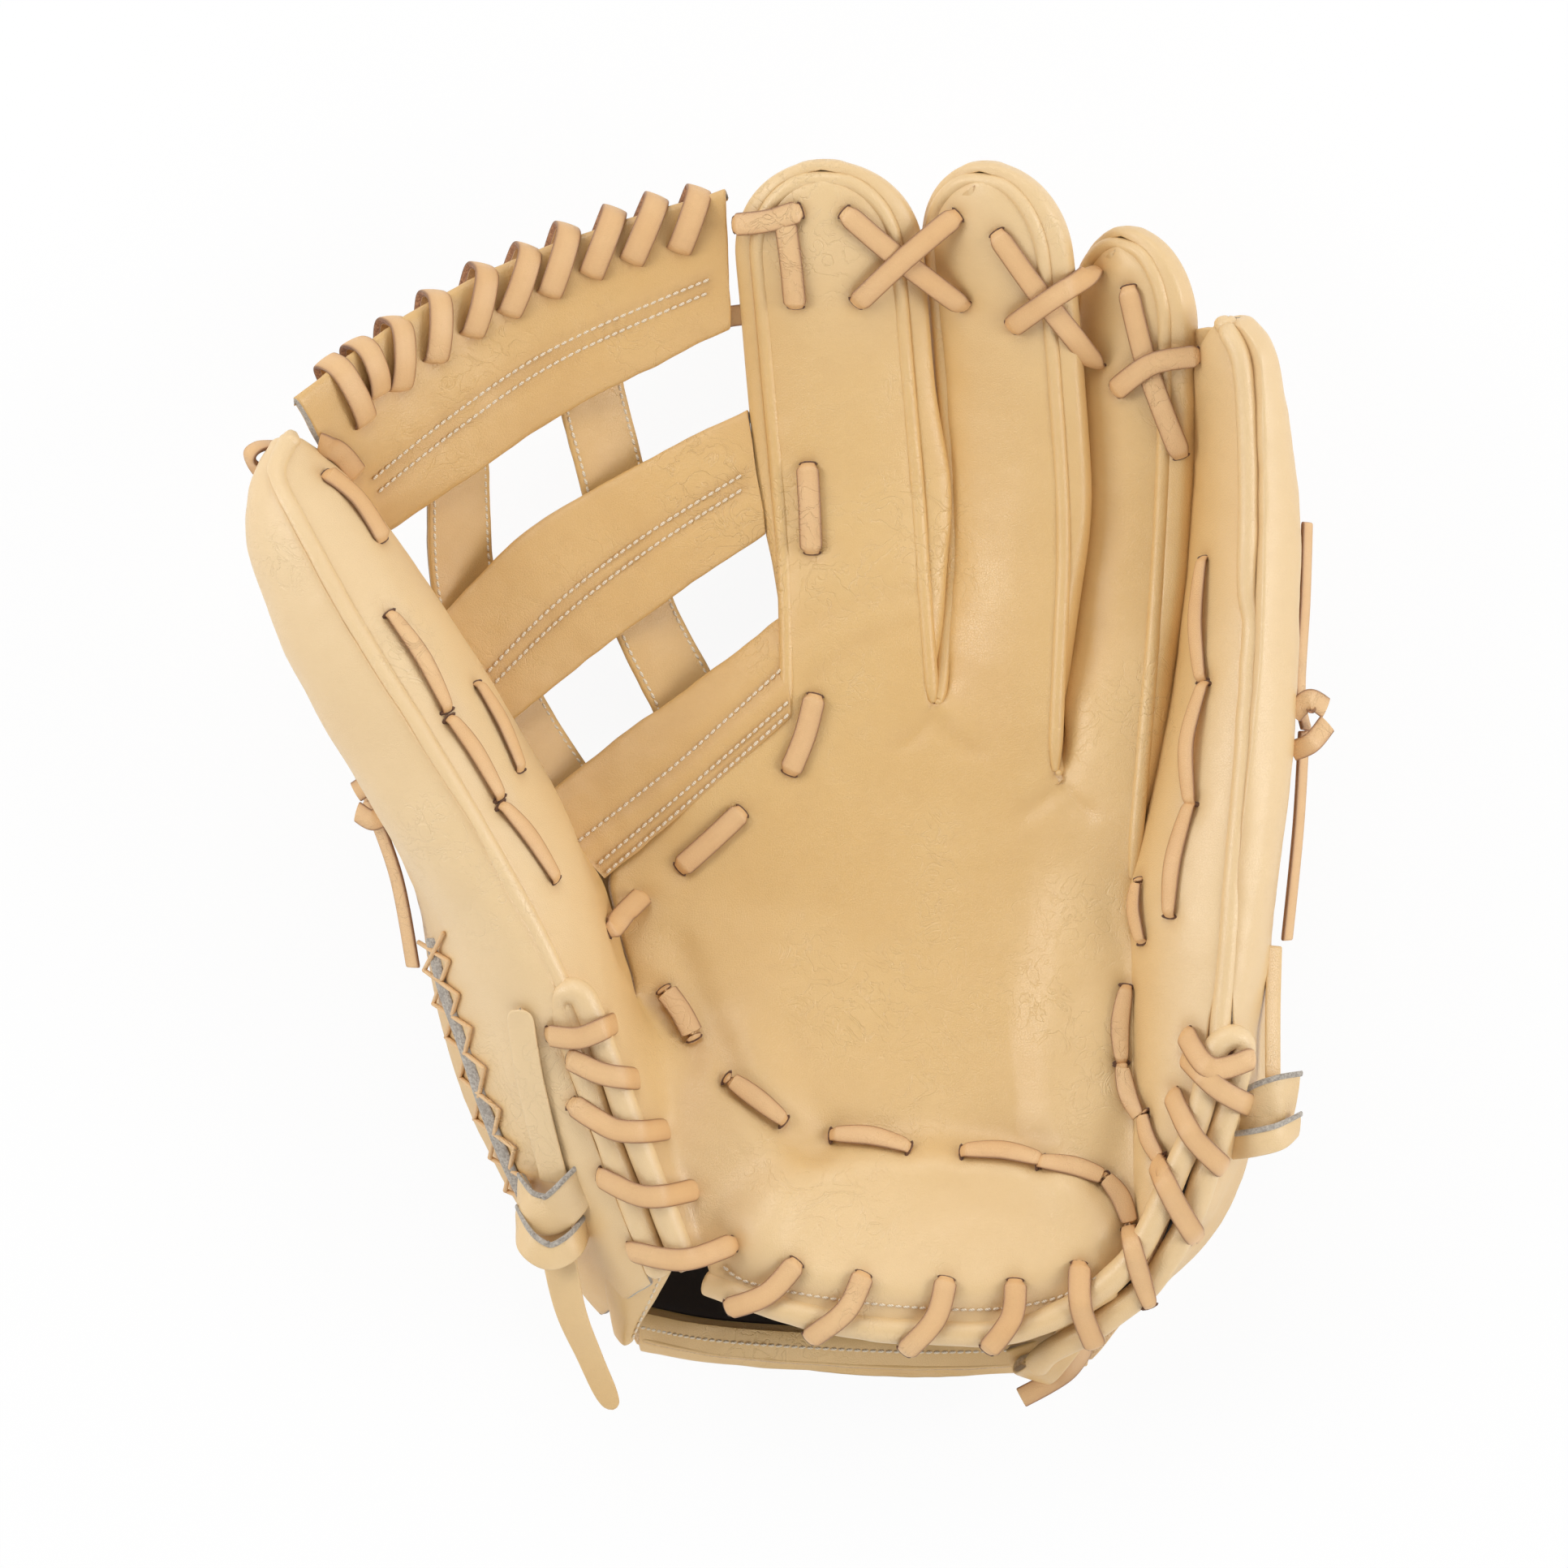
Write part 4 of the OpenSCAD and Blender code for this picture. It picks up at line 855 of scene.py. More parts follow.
def wall_front(name, wall, ridge_left):
    """Front of the thumb or pinky, up to the piping on its ridge and down to its fold and free edge."""
    vs = [FOLD_PART * k / FOLD_ROWS for k in range(FOLD_ROWS)]
    vs += [mix(FOLD_PART, 0.995, k / FREE_ROWS) for k in range(FREE_ROWS + 1)]
    us = fractions(12, (0.015, 0.04))

    def point(u, v):
        span = np.linalg.norm(wall.right(v) - wall.left(v))
        edge = min(mix(ridge_margin(v), 1.9, seam_share(v)) / span, 0.4)
        low = (0 if ridge_left else -1.4 / span) if v <= FOLD_PART else min(0.3 / span, 0.1)
        return wall_pt(wall, mix(edge, 1 - low, u) if ridge_left else mix(low, 1 - edge, u), v)
    grid = grid_of(point, us, vs)
    swell = np.array([0.35 * soft((v - SEAM_FROM) / 0.06) for v in vs])[:, None, None]
    turned = grid + normals(grid) * swell
    free = rolled(turned, 2.2, left=not ridge_left, right=ridge_left)
    ease = np.array([soft((v - FOLD_PART) / 0.05) for v in vs])[:, None, None]
    grid = turned + (free - turned) * ease
    if not ridge_left:
        flange = grid[:, :1] + P(-7, 0, -11) * ease
        grid = np.concatenate([flange, mix(flange, grid[:, :1], 0.5) + P(-1.2, 0, 0) * ease, grid], 1)
    return bare(name, grid)


palm_hide = joined("palm_hide", [
    palm_front(), *(finger_front(i) for i in range(3)), wall_front("thumb_front_hide", THUMB_WALL, True)])
weld(palm_hide)


def ease_fold(obj, axis, reach, times):
    """Rounds the crease along a fold line, more the closer to it; open edges stay."""
    data = obj.data
    co = points_of(data)
    pairs = np.array([e.vertices[:] for e in data.edges])
    faces = np.zeros(len(pairs), int)
    for loop in data.loops:
        faces[loop.edge_index] += 1
    fixed = np.zeros(len(co), bool)
    fixed[pairs[faces == 1].ravel()] = True
    a, d = axis[0] * MM, (axis[1] - axis[0]) * MM
    t = np.clip((co - a) @ d / (d @ d), 0, 1)
    far = np.linalg.norm(co - a - t[:, None] * d, axis=1) / MM / reach
    pull = np.where(fixed, 0, np.clip(1 - far, 0, 1))[:, None]
    count = np.bincount(pairs.ravel(), minlength=len(co))[:, None]
    for _ in range(times):
        total = np.zeros_like(co)
        np.add.at(total, pairs[:, 0], co[pairs[:, 1]])
        np.add.at(total, pairs[:, 1], co[pairs[:, 0]])
        co += (total / count - co) * pull * 0.6
    moved(data, co)


def swollen(obj, middle, wide, tall, height, sharp):
    """Raises a soft oval pad on a bare sheet."""
    data = obj.data
    for v in data.vertices:
        q = 1 - ((v.co.x / MM - middle[0]) / wide) ** 2 - ((v.co.y / MM - middle[1]) / tall) ** 2
        if q > 0 and v.co.z > 0.03:
            v.co.z += height * MM * soft(q * sharp)
    data.update()


ease_fold(palm_hide, THUMB_AXIS, 30, 120)
for base in zip(CROTCH, CROTCH[1:]):
    ease_fold(palm_hide, base, 16, 50)
PADS = ((38, -116), 58, 25, 6, 1.9), ((-12, -98), 20, 42, 3.6, 1.2), ((76, -70), 15, 52, 2.5, 1.2)
for pad in PADS:
    swollen(palm_hide, *pad)
thickened(palm_hide, FRONT_T, HIDE, HIDE_EDGE)
pinky_hide = thickened(wall_front("pinky_hide", PINKY_WALL, False), FRONT_T, HIDE, HIDE_EDGE)

# Back leathers, welts and rolls
BACK_U = fractions(22, (0.008, 0.02))


def domed(row, ahead, *rises):
    """Rows that close the tip of a back leather over its last row."""
    middle = row.mean(0)
    return [middle + (row - middle) * k + ahead * rise for k, rise in zip((0.8, 0.45, 0.06), rises)]


def finger_back(i):
    length, tip = FINGER_LEN[i], TIP_R + 5
    rows = [mix(BACK_FROM * length, length - tip, k / 36) for k in range(37)]
    turns = 8, 16, 24, 32, 40, 48, 55, 61, 66, 70, 74
    rows += [length - tip + tip * math.sin(math.radians(a)) for a in turns]
    grid = np.array([finger_back_row(i, s, BACK_U) for s in rows])
    shut = np.array([s < length - TIP_IN + WELT_R for s in rows])[:, None, None]
    grid = np.where(shut, rolled(grid, 0.6, left=True, right=True), grid)
    dome = domed(grid[-1], stall_dir(i, length), 0.7, 1.1, 1.2)
    made = weld(bare(f"finger_back_{i}", np.concatenate([grid, dome])))
    return thickened(made, BACK_T * 0.9, HIDE, HIDE_EDGE)


def finger_welt(i):
    """Cord in the seam of a finger, with the seam's shadow on the leathers beside it."""
    length = FINGER_LEN[i] - TIP_IN
    stops = [mix(WELT_FROM * length, length - TIP_R, k / 40) for k in range(41)]
    stops += [length - TIP_R + TIP_R * math.sin(math.radians(a)) for a in range(9, 90, 9)]
    path, out = [], []
    for side, run in ((-1, stops), (1, stops[-2::-1])):
        for s in run:
            turn = math.asin(min(max((s - length + TIP_R) / TIP_R, 0), 1))
            across, ahead = stall_across(i, s), stall_dir(i, s)
            aside = side * across * math.cos(turn) + ahead * math.sin(turn)
            path.append(seam(i, side, s))
            out.append(unit(unit(np.cross(across, ahead)) + 0.6 * aside))
    for hide in (palm_hide, finger_backs[i]):
        lined(hide, path, 0.95, 1.3)
    sunk = [p - o * 0.9 for p, o in zip(path, out)]
    return tube(f"finger_welt_{i}", sunk, lambda t: 2.15 * (0.5 + 0.5 * soft(min(t, 1 - t) / 0.05)), HIDE, 12)


def wall_back(name, wall, ridge_left):
    vs = [0.985 * k / 60 for k in range(61)]
    margin = lambda v: mix(ridge_margin(v) + 0.2, 1.4, seam_share(v))
    insets = [(margin(v), 0.6) if ridge_left else (0.6, margin(v)) for v in vs]
    grid = np.array([wall_back_row(wall, v, *inset, BACK_U) for v, inset in zip(vs, insets)])
    grid = rolled(grid, 0.8, left=ridge_left, right=not ridge_left)
    dome = domed(grid[-1], wall_dir(wall, 1), 0.9, 1.6, 1.8)
    return thickened(weld(bare(name, np.concatenate([grid, dome]))), BACK_T, HIDE, FLESH)


finger_backs = [finger_back(i) for i in range(3)]
finger_welts = [finger_welt(i) for i in range(3)]
thumb_back_hide = wall_back("thumb_back_hide", THUMB_REAR, True)
pinky_back_hide = wall_back("pinky_back_hide", PINKY_REAR, False)


def flap_pt(u, v):
    """Lower end of the thumb back, a tongue of leather beside the wrist."""
    low = mix(P(-45.5, -146.5, 36), P(-40, -148.5, 38), u)
    high = mix(P(-50, -122, 56), P(-27.5, -126, 58), u)
    bow = math.sin(math.pi * u)
    return mix(low, high, v) + P(0, 0, 3.5 * bow) - P(0, 2.2 * bow * (1 - v), 0)


flap_grid = grid_of(flap_pt, fractions(12, (0.03,)), fractions(14, (0.03,)))
flap = sheet("flap", rolled(flap_grid, 1.6, left=True, right=True, low=True), BACK_T, HIDE, FLESH)
thumb_back_hide = joined("thumb_back_hide", [thumb_back_hide, flap])
# Painted shade along the piped seams of the thumb and pinky
for ridge, *hides in ((THUMB_RIDGE, palm_hide, thumb_back_hide), (PINKY_RIDGE, pinky_hide, pinky_back_hide)):
    seam_path = sampled(ridge, 160, SEAM_FROM, 0.99)
    for hide in hides:
        lined(hide, seam_path, 0.75, 2.1)


def piping(name, front, rear, side):
    """Cord that fills the seam of a wall; side is 0 on the left rail, 1 on the right."""
    path = []
    for k in range(71):
        v = mix(ROLL_END, 1.0, k / 70)
        edge = front[side](v)
        step = 5 / np.linalg.norm(front.right(v) - front.left(v))
        on_front = wall_pt(front, step if side == 0 else 1 - step, v)
        on_rear = wall_back_row(rear, v, 5, 5, (1 - side,))[0]
        path.append(edge - unit(2 * edge - on_front - on_rear) * 1.5)
    return tube(name, path, lambda t: 2.9 + 0.3 * soft((t - 0.95) / 0.04), HIDE, 12, ends=1.8)


thumb_piping = piping("thumb_piping", THUMB_WALL, THUMB_REAR, 0)
pinky_piping = piping("pinky_piping", PINKY_WALL, PINKY_REAR, 1)


def puckered(t):
    """Radius of a heel roll, a little uneven along its length."""
    return ROLL_R * (1.04 + 0.03 * math.sin(31 * t) + 0.02 * math.sin(77 * t + 1))


def palm_roll_pt(t):
    """Middle of the palm roll, which climbs on to the leather where it meets the pinky rolls."""
    climb = soft((t - 0.58) / 0.3)
    return spline(HEEL, t) + P(0, -ROLL_R - 0.6 + 4 * climb, -1 + 1.5 * climb)


palm_roll = tube("palm_heel_roll", [palm_roll_pt(0.9 * k / 60) for k in range(61)], puckered, HIDE, 14)


def roll_pair(name, on, inner, outer):
    """Rolled heel edge that runs up, turns back in a cap at its upper end and runs down beside itself."""
    along = unit(inner[-1] - inner[-4])
    beside, top = (outer[-1] - inner[-1]) / 2, (inner[-1] + outer[-1]) / 2
    angles = np.linspace(0.25, math.pi - 0.25, 10)
    turn = [top - beside * math.cos(a) + along * 4.4 * math.sin(a) for a in angles]
    face = unit(np.cross(beside, along) * (1 if np.cross(beside, along)[2] > 0 else -1))
    HOLES[on].append((top + face * 2.4 + along * 0.2, face, unit(np.cross(along, face))))
    return tube(name, inner + turn + outer[::-1], puckered, HIDE, 14, ends=1.6)


thumb_beside = unit(unit(THUMB_OUT) * 3.7 + P(0, 0, 0.9)) * 3.8
thumb_middle = [p - P(0, 0, 0.3) for p in sampled(THUMB_RIDGE, 40, 0.014, 0.24)]
thumb_rolls = roll_pair("thumb_heel_rolls", "thumb", [p - thumb_beside for p in thumb_middle],
                        [p + thumb_beside for p in thumb_middle])
PINKY_INNER = line_of(
    (77.6, -136.5, 60.5), (85.1, -131, 62), (92.4, -122.9, 64), (97.7, -113, 66), (103, -100.7, 68),
    (108.1, -88.3, 69.5), (112.6, -70.5, 71.5))
PINKY_OUTER = line_of(
    (67, -153.5, 44), (70.5, -149.5, 51), (80.4, -143.8, 56.5), (88.1, -138.2, 58), (95.8, -131.8, 59.5),
    (101.3, -123.7, 61.5), (106.9, -113, 64), (110.9, -100.7, 66), (115.4, -88.3, 68), (120.1, -70.5, 70))
pinky_rolls = roll_pair("pinky_heel_rolls", "pinky", sampled(PINKY_INNER, 50), sampled(PINKY_OUTER, 50))


# Inside: pad, lining, stays, finger loops
def behind(point, us, vs, depth):
    grid = grid_of(point, us, vs)
    return grid - normals(grid) * depth


inner_u = [0.17 + 2.66 * k / 30 for k in range(31)]
inner_v = [0.1 + 0.8 * k / 24 for k in range(25)]
palm_felt = sheet("palm_felt", behind(palm_pt, inner_u, inner_v, FRONT_T + 0.4), PAD_T, FELT)
liner_depth = np.array([3.9, 5.4, 7.4] + [FRONT_T + PAD_T + 0.8] * len(inner_v))[:, None, None]
liner_grid = behind(palm_pt, inner_u, [0.045, 0.062, 0.08, *inner_v], liner_depth)
palm_liner = sheet("palm_liner", liner_grid, LINING_T, LINING)


def stay(name, wall, left, right):
    """Stiff board behind a wall, in from its edges."""
    def point(u, v):
        span = np.linalg.norm(wall.right(v) - wall.left(v))
        return wall_pt(wall, mix(left / span, 1 - right / span, u), v)
    vs = [mix(0.42, 0.82, k / 24) for k in range(25)]
    return sheet(name, behind(point, fractions(10), vs, FRONT_T + 0.4), STAY_T, FELT)


thumb_stay = stay("thumb_stay_felt", THUMB_WALL, 9, 8)
pinky_stay = stay("pinky_stay_felt", PINKY_WALL, 7, 8)


def finger_loop(name, wall, v, deep):
    """Strap inside a wall that holds the thumb or the little finger."""
    us = [mix(0.3, 0.74, k / 10) for k in range(11)]
    ups = [facing(lambda a, b: wall_pt(wall, a, b), u, v) for u in us]
    inner = FRONT_T + STAY_T + 1.2 + LINING_T / 2
    depths = [inner + deep * math.sin(math.pi * k / 10) for k in range(11)]
    pts = [wall_pt(wall, u, v) - n * depth for u, n, depth in zip(us, ups, depths)]
    return strip(name, pts, ups, 14, LINING_T, LINING, LINING)


thumb_loop = finger_loop("thumb_loop_strap", THUMB_WALL, 0.52, 12)
pinky_loop = finger_loop("pinky_loop_strap", PINKY_WALL, 0.52, 9)


# Back of the hand
def laid(net, us, vs, reach=lambda v: 1.0):
    grid = grid_of(lambda u, v: net_pt(net, (1 - u) * reach(v), v), us, vs)
    grid[..., 2] = np.maximum(grid[..., 2], 0.02)
    return grid


knuckle_grid = laid(KNUCKLE_NET, fractions(36, (0.01,)), fractions(20, (0.015,)))
knuckle_hide = sheet("knuckle_hide", rolled(knuckle_grid, 1, True, True, True, True), BACK_T, HIDE, HIDE_EDGE)
strap_u, strap_v = [0.982 * u for u in fractions(40, (0.006,))], fractions(14, (0.02,))
strap_grid = laid(STRAP_NET, strap_u, strap_v, lambda v: mix(0.88, 1.0, v))


def band_pt(u, v):
    """Turned edge of the strap at the wrist: v from its outer fold to its sewn inner edge."""
    turn = P(0, 8.5 * v, 2.2 + 2.6 * math.sin(1.9 * v)) if v > 0 else P(0, 5 * v, 2.2 + 9 * v)
    p = spline(STRAP_NET[0], u) + P(0, 1, 0) + turn
    return P(p[0], p[1], max(p[2], 0.3))


band_u = [mix(0.03, 0.87, u) for u in fractions(44, (0.006,))]
band_v = [-0.6, -0.5, -0.35, -0.2, -0.1, *fractions(8, (0.04,))]
strap_hide = joined("strap_hide", [
    sheet("strap", strap_grid, STRAP_T, HIDE, HIDE_EDGE),
    sheet("band", rolled(grid_of(band_pt, band_u, band_v), 1.0, low=True), 1.8, HIDE, HIDE_EDGE)])
strap_inner = strap_grid - normals(strap_grid) * (STRAP_T + 0.2)
strap_liner = sheet("strap_liner", strap_inner[4:-1, 1:-1], LINING_T, LINING)


# Web
def bar_swell(v):
    return 1.5 * abs(math.sin(math.pi * v)) ** 0.7


def bar(name, net):
    vs = fractions(12, (0.03,))
    grid = grid_of(lambda u, v: net_pt(net, u, v), fractions(48, (0.006,)), vs)
    grid = grid + normals(grid) * np.array([bar_swell(v) for v in vs])[:, None, None]
    return sheet(name, rolled(grid, 2.2, low=True, high=True), BAR_T, SHADED_WEB_HIDE, FLESH)


top_bar, middle_bar, low_bar = (
    bar(f"web_{place}_bar_hide", net) for place, net in zip(("top", "middle", "low"), BARS))


def post(name, *route):
    """A strip behind the bars, through places (bar, u, v), with its middle line and the way it faces."""
    up = [facing(lambda u, v: net_pt(BARS[b], u, v), u, v) for b, u, v in route]
    p = [net_pt(BARS[b], u, v) - n * (BAR_T + 2 + POST_T / 2) for (b, u, v), n in zip(route, up)]
    up = [unit(n + P(0.34, 0, 0)) for n in up]
    return p, up, strip(name, p, up, POST_W, POST_T, SHADED_WEB_HIDE, FLESH, steps=60)


thumb_post_p, thumb_post_up, thumb_post = post(
    "web_thumb_post_hide", (0, 0.36, 0.4), (0, 0.34, 0.12), (1, 0.16, 0.9), (1, 0.1, 0.15),
    (2, 0.13, 0.85), (2, 0.16, 0.35))
index_post_p, index_post_up, index_post = post(
    "web_index_post_hide", (0, 0.74, 0.4), (0, 0.72, 0.12), (1, 0.66, 0.9), (1, 0.58, 0.15),
    (2, 0.6, 0.85), (2, 0.6, 0.35))


def post_pt(p, up):
    """Face of a post along its middle line."""
    def point(u, v):
        middle, n = spline(p, v), unit(spline(up, v))
        d = unit(spline(p, min(v + 0.02, 1)) - spline(p, max(v - 0.02, 0)))
        side = unit(np.cross(d, n))
        return middle + side * (u - 0.5) * POST_W + np.cross(side, d) * (POST_T / 2 + 0.05)
    return point


def bar_rows(name, obj, net, rows):
    """Thread rows on a bar, each sunk in its own groove with painted shade."""
    def point(u, v):
        return net_pt(net, u, v) + facing(lambda a, b: net_pt(net, a, b), u, v) * bar_swell(v)
    made = []
    for k, places in enumerate(rows):
        grooved(obj, point, places, 0.75, 2.4, 0.4, 1.5)
        made.append(sewn(f"{name}_{k}", point, places, lift=-0.5))
    return joined(name, made)


top_thread = bar_rows("top_bar_thread", top_bar, TOP_BAR, (
    ((0.1, 0.3), (0.3, 0.33), (0.6, 0.36), (0.94, 0.37)),
    ((0.1, 0.37), (0.3, 0.4), (0.6, 0.43), (0.94, 0.44))))
middle_thread = bar_rows("middle_bar_thread", middle_bar, MIDDLE_BAR, (
    ((0.05, 0.36), (0.4, 0.4), (0.94, 0.45)), ((0.05, 0.44), (0.4, 0.48), (0.94, 0.53))))
low_thread = bar_rows("low_bar_thread", low_bar, LOW_BAR, (
    ((0.04, 0.1), (0.5, 0.1), (0.97, 0.1)), ((0.04, 0.22), (0.5, 0.22), (0.97, 0.22)),
    ((0.04, 0.46), (0.5, 0.44), (0.97, 0.5))))
post_lines = (thumb_post_p, thumb_post_up), (index_post_p, index_post_up)
post_thread = joined("post_thread", [
    sewn(f"post_row_{k}{u}", post_pt(p, up), ((u, 0.02), (u, 0.5), (u, 0.98)))
    for k, (p, up) in enumerate(post_lines) for u in (0.1, 0.9)])

RUMPLED = {0.28: (palm_hide, pinky_hide), 0.3: (thumb_post, index_post, strap_hide),
           0.45: (top_bar, middle_bar), 0.4: (thumb_back_hide, pinky_back_hide, low_bar, knuckle_hide)}
for amount, hides in RUMPLED.items():
    for hide in hides:
        rumpled(hide, amount)
for hide in (strap_hide, knuckle_hide):
    for v in hide.data.vertices:
        v.co.z = max(v.co.z, 0.05 * MM)


# Laces, placed by their pixels in the photograph
def faces_of(objs):
    verts, polys = [], []
    for o in objs:
        n = len(verts)
        verts += [v.co.copy() for v in o.data.vertices]
        polys += [[n + k for k in p.vertices] for p in o.data.polygons]
    return BVHTree.FromPolygons(verts, polys)


EYE = P(0, 0, CAMERA_Z)
FRONT = faces_of([palm_hide, pinky_hide, thumb_back_hide, pinky_back_hide, *finger_backs, *finger_welts,
                  thumb_piping, pinky_piping, palm_roll, thumb_rolls, pinky_rolls,
                  top_bar, middle_bar, low_bar])


def at(px, py, z):
    """Point at height z that the camera sees at a pixel of the photograph."""
    aim = P((px - PHOTO_MID) * SCALE, (PHOTO_MID - py) * SCALE, RIM_Z) - EYE
    return EYE + aim * ((z - EYE[2]) / aim[2])


def seen(px, py):
    """Leather under a pixel of the photograph, with the way it faces, or nothing."""
    aim = unit(at(px, py, RIM_Z) - EYE)
    hit, n, _, _ = FRONT.ray_cast(Vector(EYE * MM), Vector(aim))
    if hit is None:
        return None
    n = P(*n)
    return P(*hit) / MM, n if n @ aim < 0 else -n


def taut(z):
    """Upper hull of a row of heights, as a lace pulled tight over them."""
    hull = []
    for k, h in enumerate(z):
        while len(hull) > 1:
            (k0, h0), (k1, h1) = hull[-2:]
            if (h1 - h0) * (k - k0) > (h - h0) * (k1 - k0):
                break
            hull.pop()
        hull.append((k, h))
    return np.interp(range(len(z)), [q[0] for q in hull], [q[1] for q in hull])


def draped(route):
    """What the camera sees along pixels of the photograph, and the heights of a cord pulled tight over it."""
    hits = [seen(*q) for q in route]
    known = [k for k, hit in enumerate(hits) if hit]
    return hits, taut(np.interp(range(len(route)), known, [hits[k][0][2] for k in known]))


def dipped(end, up, go):
    """Points and facings that lead a lace out of its slit, with go the way it then runs."""
    points = [end - up * 4.4 + go * 0.3, end - up * 1.6, end + go * 1.1 - up * 0.1]
    return points, [unit(up - go * lean) for lean in (1.4, 0.9, 0.3)]


def strand(*pixels, step=0.0, width=LACE_W, thick=LACE_T, dip=(True, True), face=None, rim=None,
           taper=None, on="palm"):
    """A lace pulled over the leather through pixels of the photograph; dipped ends go through slits."""
    n = 12
    route = sampled(pixels, n)
    hits, z = draped(route)
    z = z + thick / 2 + 0.15 + step * np.sin(np.pi * np.arange(n + 1) / n)
    facings = [hit[1] if hit else P(0, 0, 1) for hit in hits]
    ups = [unit(sum(facings[max(k - 2, 0):k + 3]) + P(0, 0, 2.2)) for k in range(n + 1)]
    p = [at(*q, h) for q, h in zip(route, z)]
    first, last = unit(p[1] - p[0]), unit(p[-2] - p[-1])
    if dip[0]:
        HOLES[on].append((p[0], ups[0], first))
        points, leans = dipped(p[0], ups[0], first)
        p, ups = points + p[1:], leans + ups[1:]
    if dip[1]:
        HOLES[on].append((p[-1], ups[-1], last))
        points, leans = dipped(p[-1], ups[-1], last)
        p, ups = p[:-1] + points[::-1], ups[:-1] + leans[::-1]
    if not taper and any(dip):
        taper = lambda t: 0.62 + 0.46 * soft((min(t if dip[0] else 1, 1 - t if dip[1] else 1) - 0.05) / 0.14)
    return strip("strand", p, ups, width, thick, face, rim, 30, taper)


def strands(name, routes, **how):
    return joined(name, [strand(*route, **how) for route in routes])


def crossed(name, *pairs):
    """Pairs of strands, the second of each laid over the first."""
    steps = 0.0, LACE_T + 0.3
    return joined(name, [strand(*route, step=step) for pair in pairs for route, step in zip(pair, steps)])


def crescent(t):
    """Share of the width of a lace that lies half sunk in a crease."""
    return 0.3 + 0.7 * math.sin(math.pi * t) ** 0.75


# Pixels of the photograph that the laces run through; a third number is a height in millimetres
PALM_LACE = (
    ((896, 1328), (930, 1352), (966, 1381)), ((1025, 1398), (1072, 1400), (1119, 1413)),
    ((1186, 1418), (1235, 1418), (1283, 1429)), ((1280, 1431), (1325, 1438), (1363, 1452)),
    ((1359, 1449), (1380, 1475), (1393, 1512)), ((1390, 1514), (1402, 1560), (1417, 1610)))
WEB_INDEX_LACE = (
    ((905, 277), (945, 272), (985, 260)), ((968, 272), (975, 325), (980, 378)),
    ((995, 573), (998, 627), (1000, 680)), ((1004, 858), (992, 905), (973, 952)),
    ((914, 1000), (876, 1036), (838, 1070)), ((792, 1104), (772, 1124), (752, 1146)),
    ((818, 1219), (838, 1246), (855, 1278)))
WEB_TIES = ((884, 393, 38), (906, 389, 39), (936, 386, 41)), ((912, 552, 32), (934, 548, 33), (964, 545, 35))
THUMB_LACE = (
    ((481, 756), (520, 810), (552, 874)), ((555, 885), (585, 925), (617, 982)),
    ((619, 992), (652, 1030), (686, 1084)))
PINKY_LACE = (
    ((1482, 688), (1474, 765), (1480, 838)), ((1483, 842), (1463, 915), (1466, 990)),
    ((1466, 990), (1446, 1060), (1440, 1128)), ((1402, 1084), (1398, 1120), (1406, 1160)),
    ((1388, 1216), (1380, 1262), (1382, 1308)), ((1382, 1312), (1390, 1348), (1407, 1380)),
    ((1408, 1371), (1415, 1402), (1431, 1431)), ((1429, 1428), (1448, 1480), (1478, 1526)))
INDEX_CROSS = ((1041, 262), (1112, 322), (1188, 378)), ((1055, 374), (1115, 318), (1178, 266))
MIDDLE_CROSS = ((1228, 288), (1288, 372), (1352, 450)), ((1245, 404), (1298, 366), (1350, 334))
RING_CROSS = ((1390, 355), (1415, 455), (1455, 562)), ((1373, 482), (1420, 448), (1477, 438))
WHIPS = (
    ((414, 449), (449, 518)), ((449, 427), (466, 484)), ((492, 397), (492, 477)), ((540, 364), (536, 442)),
    ((599, 332), (581, 410)), ((653, 308), (627, 384)), ((701, 282), (677, 360)), ((757, 262), (729, 336)),
    ((809, 247), (779, 319)), ((861, 239), (837, 306)))
WEB_FOOT, WEB_TIP = ((589, 842), (618, 890), (642, 948)), ((402, 583), (440, 615), (472, 664))
WEB_END = (395, 545), (420, 560), (440, 585)
WEB_LOOP = (352, 596, 58), (326, 582, 68), (309, 562, 74), (326, 550, 72), (356, 556, 62)
THUMB_HEEL = (
    ((675, 1275), (715, 1278), (757, 1260)), ((700, 1303), (740, 1322), (785, 1330)),
    ((705, 1360), (760, 1392), (822, 1392)), ((737, 1448), (795, 1474), (857, 1466)),
    ((774, 1540), (840, 1552), (903, 1533)))
PINKY_HEEL = (
    ((1460, 1272), (1492, 1316), (1545, 1303)), ((1460, 1300), (1500, 1340), (1543, 1364)),
    ((1444, 1346), (1470, 1400), (1508, 1440)), ((1424, 1430), (1446, 1478), (1474, 1526)))
PALM_HEEL = (
    ((981, 1556), (945, 1595), (896, 1612)), ((1064, 1570), (1042, 1615), (996, 1650)),
    ((1166, 1576), (1152, 1625), (1114, 1666)), ((1251, 1579), (1246, 1625), (1216, 1664)),
    ((1330, 1558), (1332, 1610), (1350, 1660)))
STRAP_LOOP = (1278, 1690, 30), (1296, 1672, 42)
HEEL_TAIL = (1315, 1688, 30), (1290, 1705, 24), (1258, 1722, 22)

# Ways that the loops and the tail face along their course
LOOP_UPS = [P(0.3, 0.2, 1), P(-0.3, -0.3, 1), P(-1, 0.1, 0.8), P(-0.2, 1, 0.8), P(0.3, 0.5, 1)]
STRAP_LOOP_UPS = [P(0, 0.2, 1), P(0, -0.6, 1), P(-0.3, -1, 0.6), P(-0.2, -1, 0.5),
                  P(0, -0.8, 0.8), P(0, 0, 1)]
HEEL_TAIL_UPS = [P(0.1, -1, 0.3), P(0.2, -0.8, 0.6), P(0, -0.2, 1), P(0, 0, 1), P(0, 0, 1)]

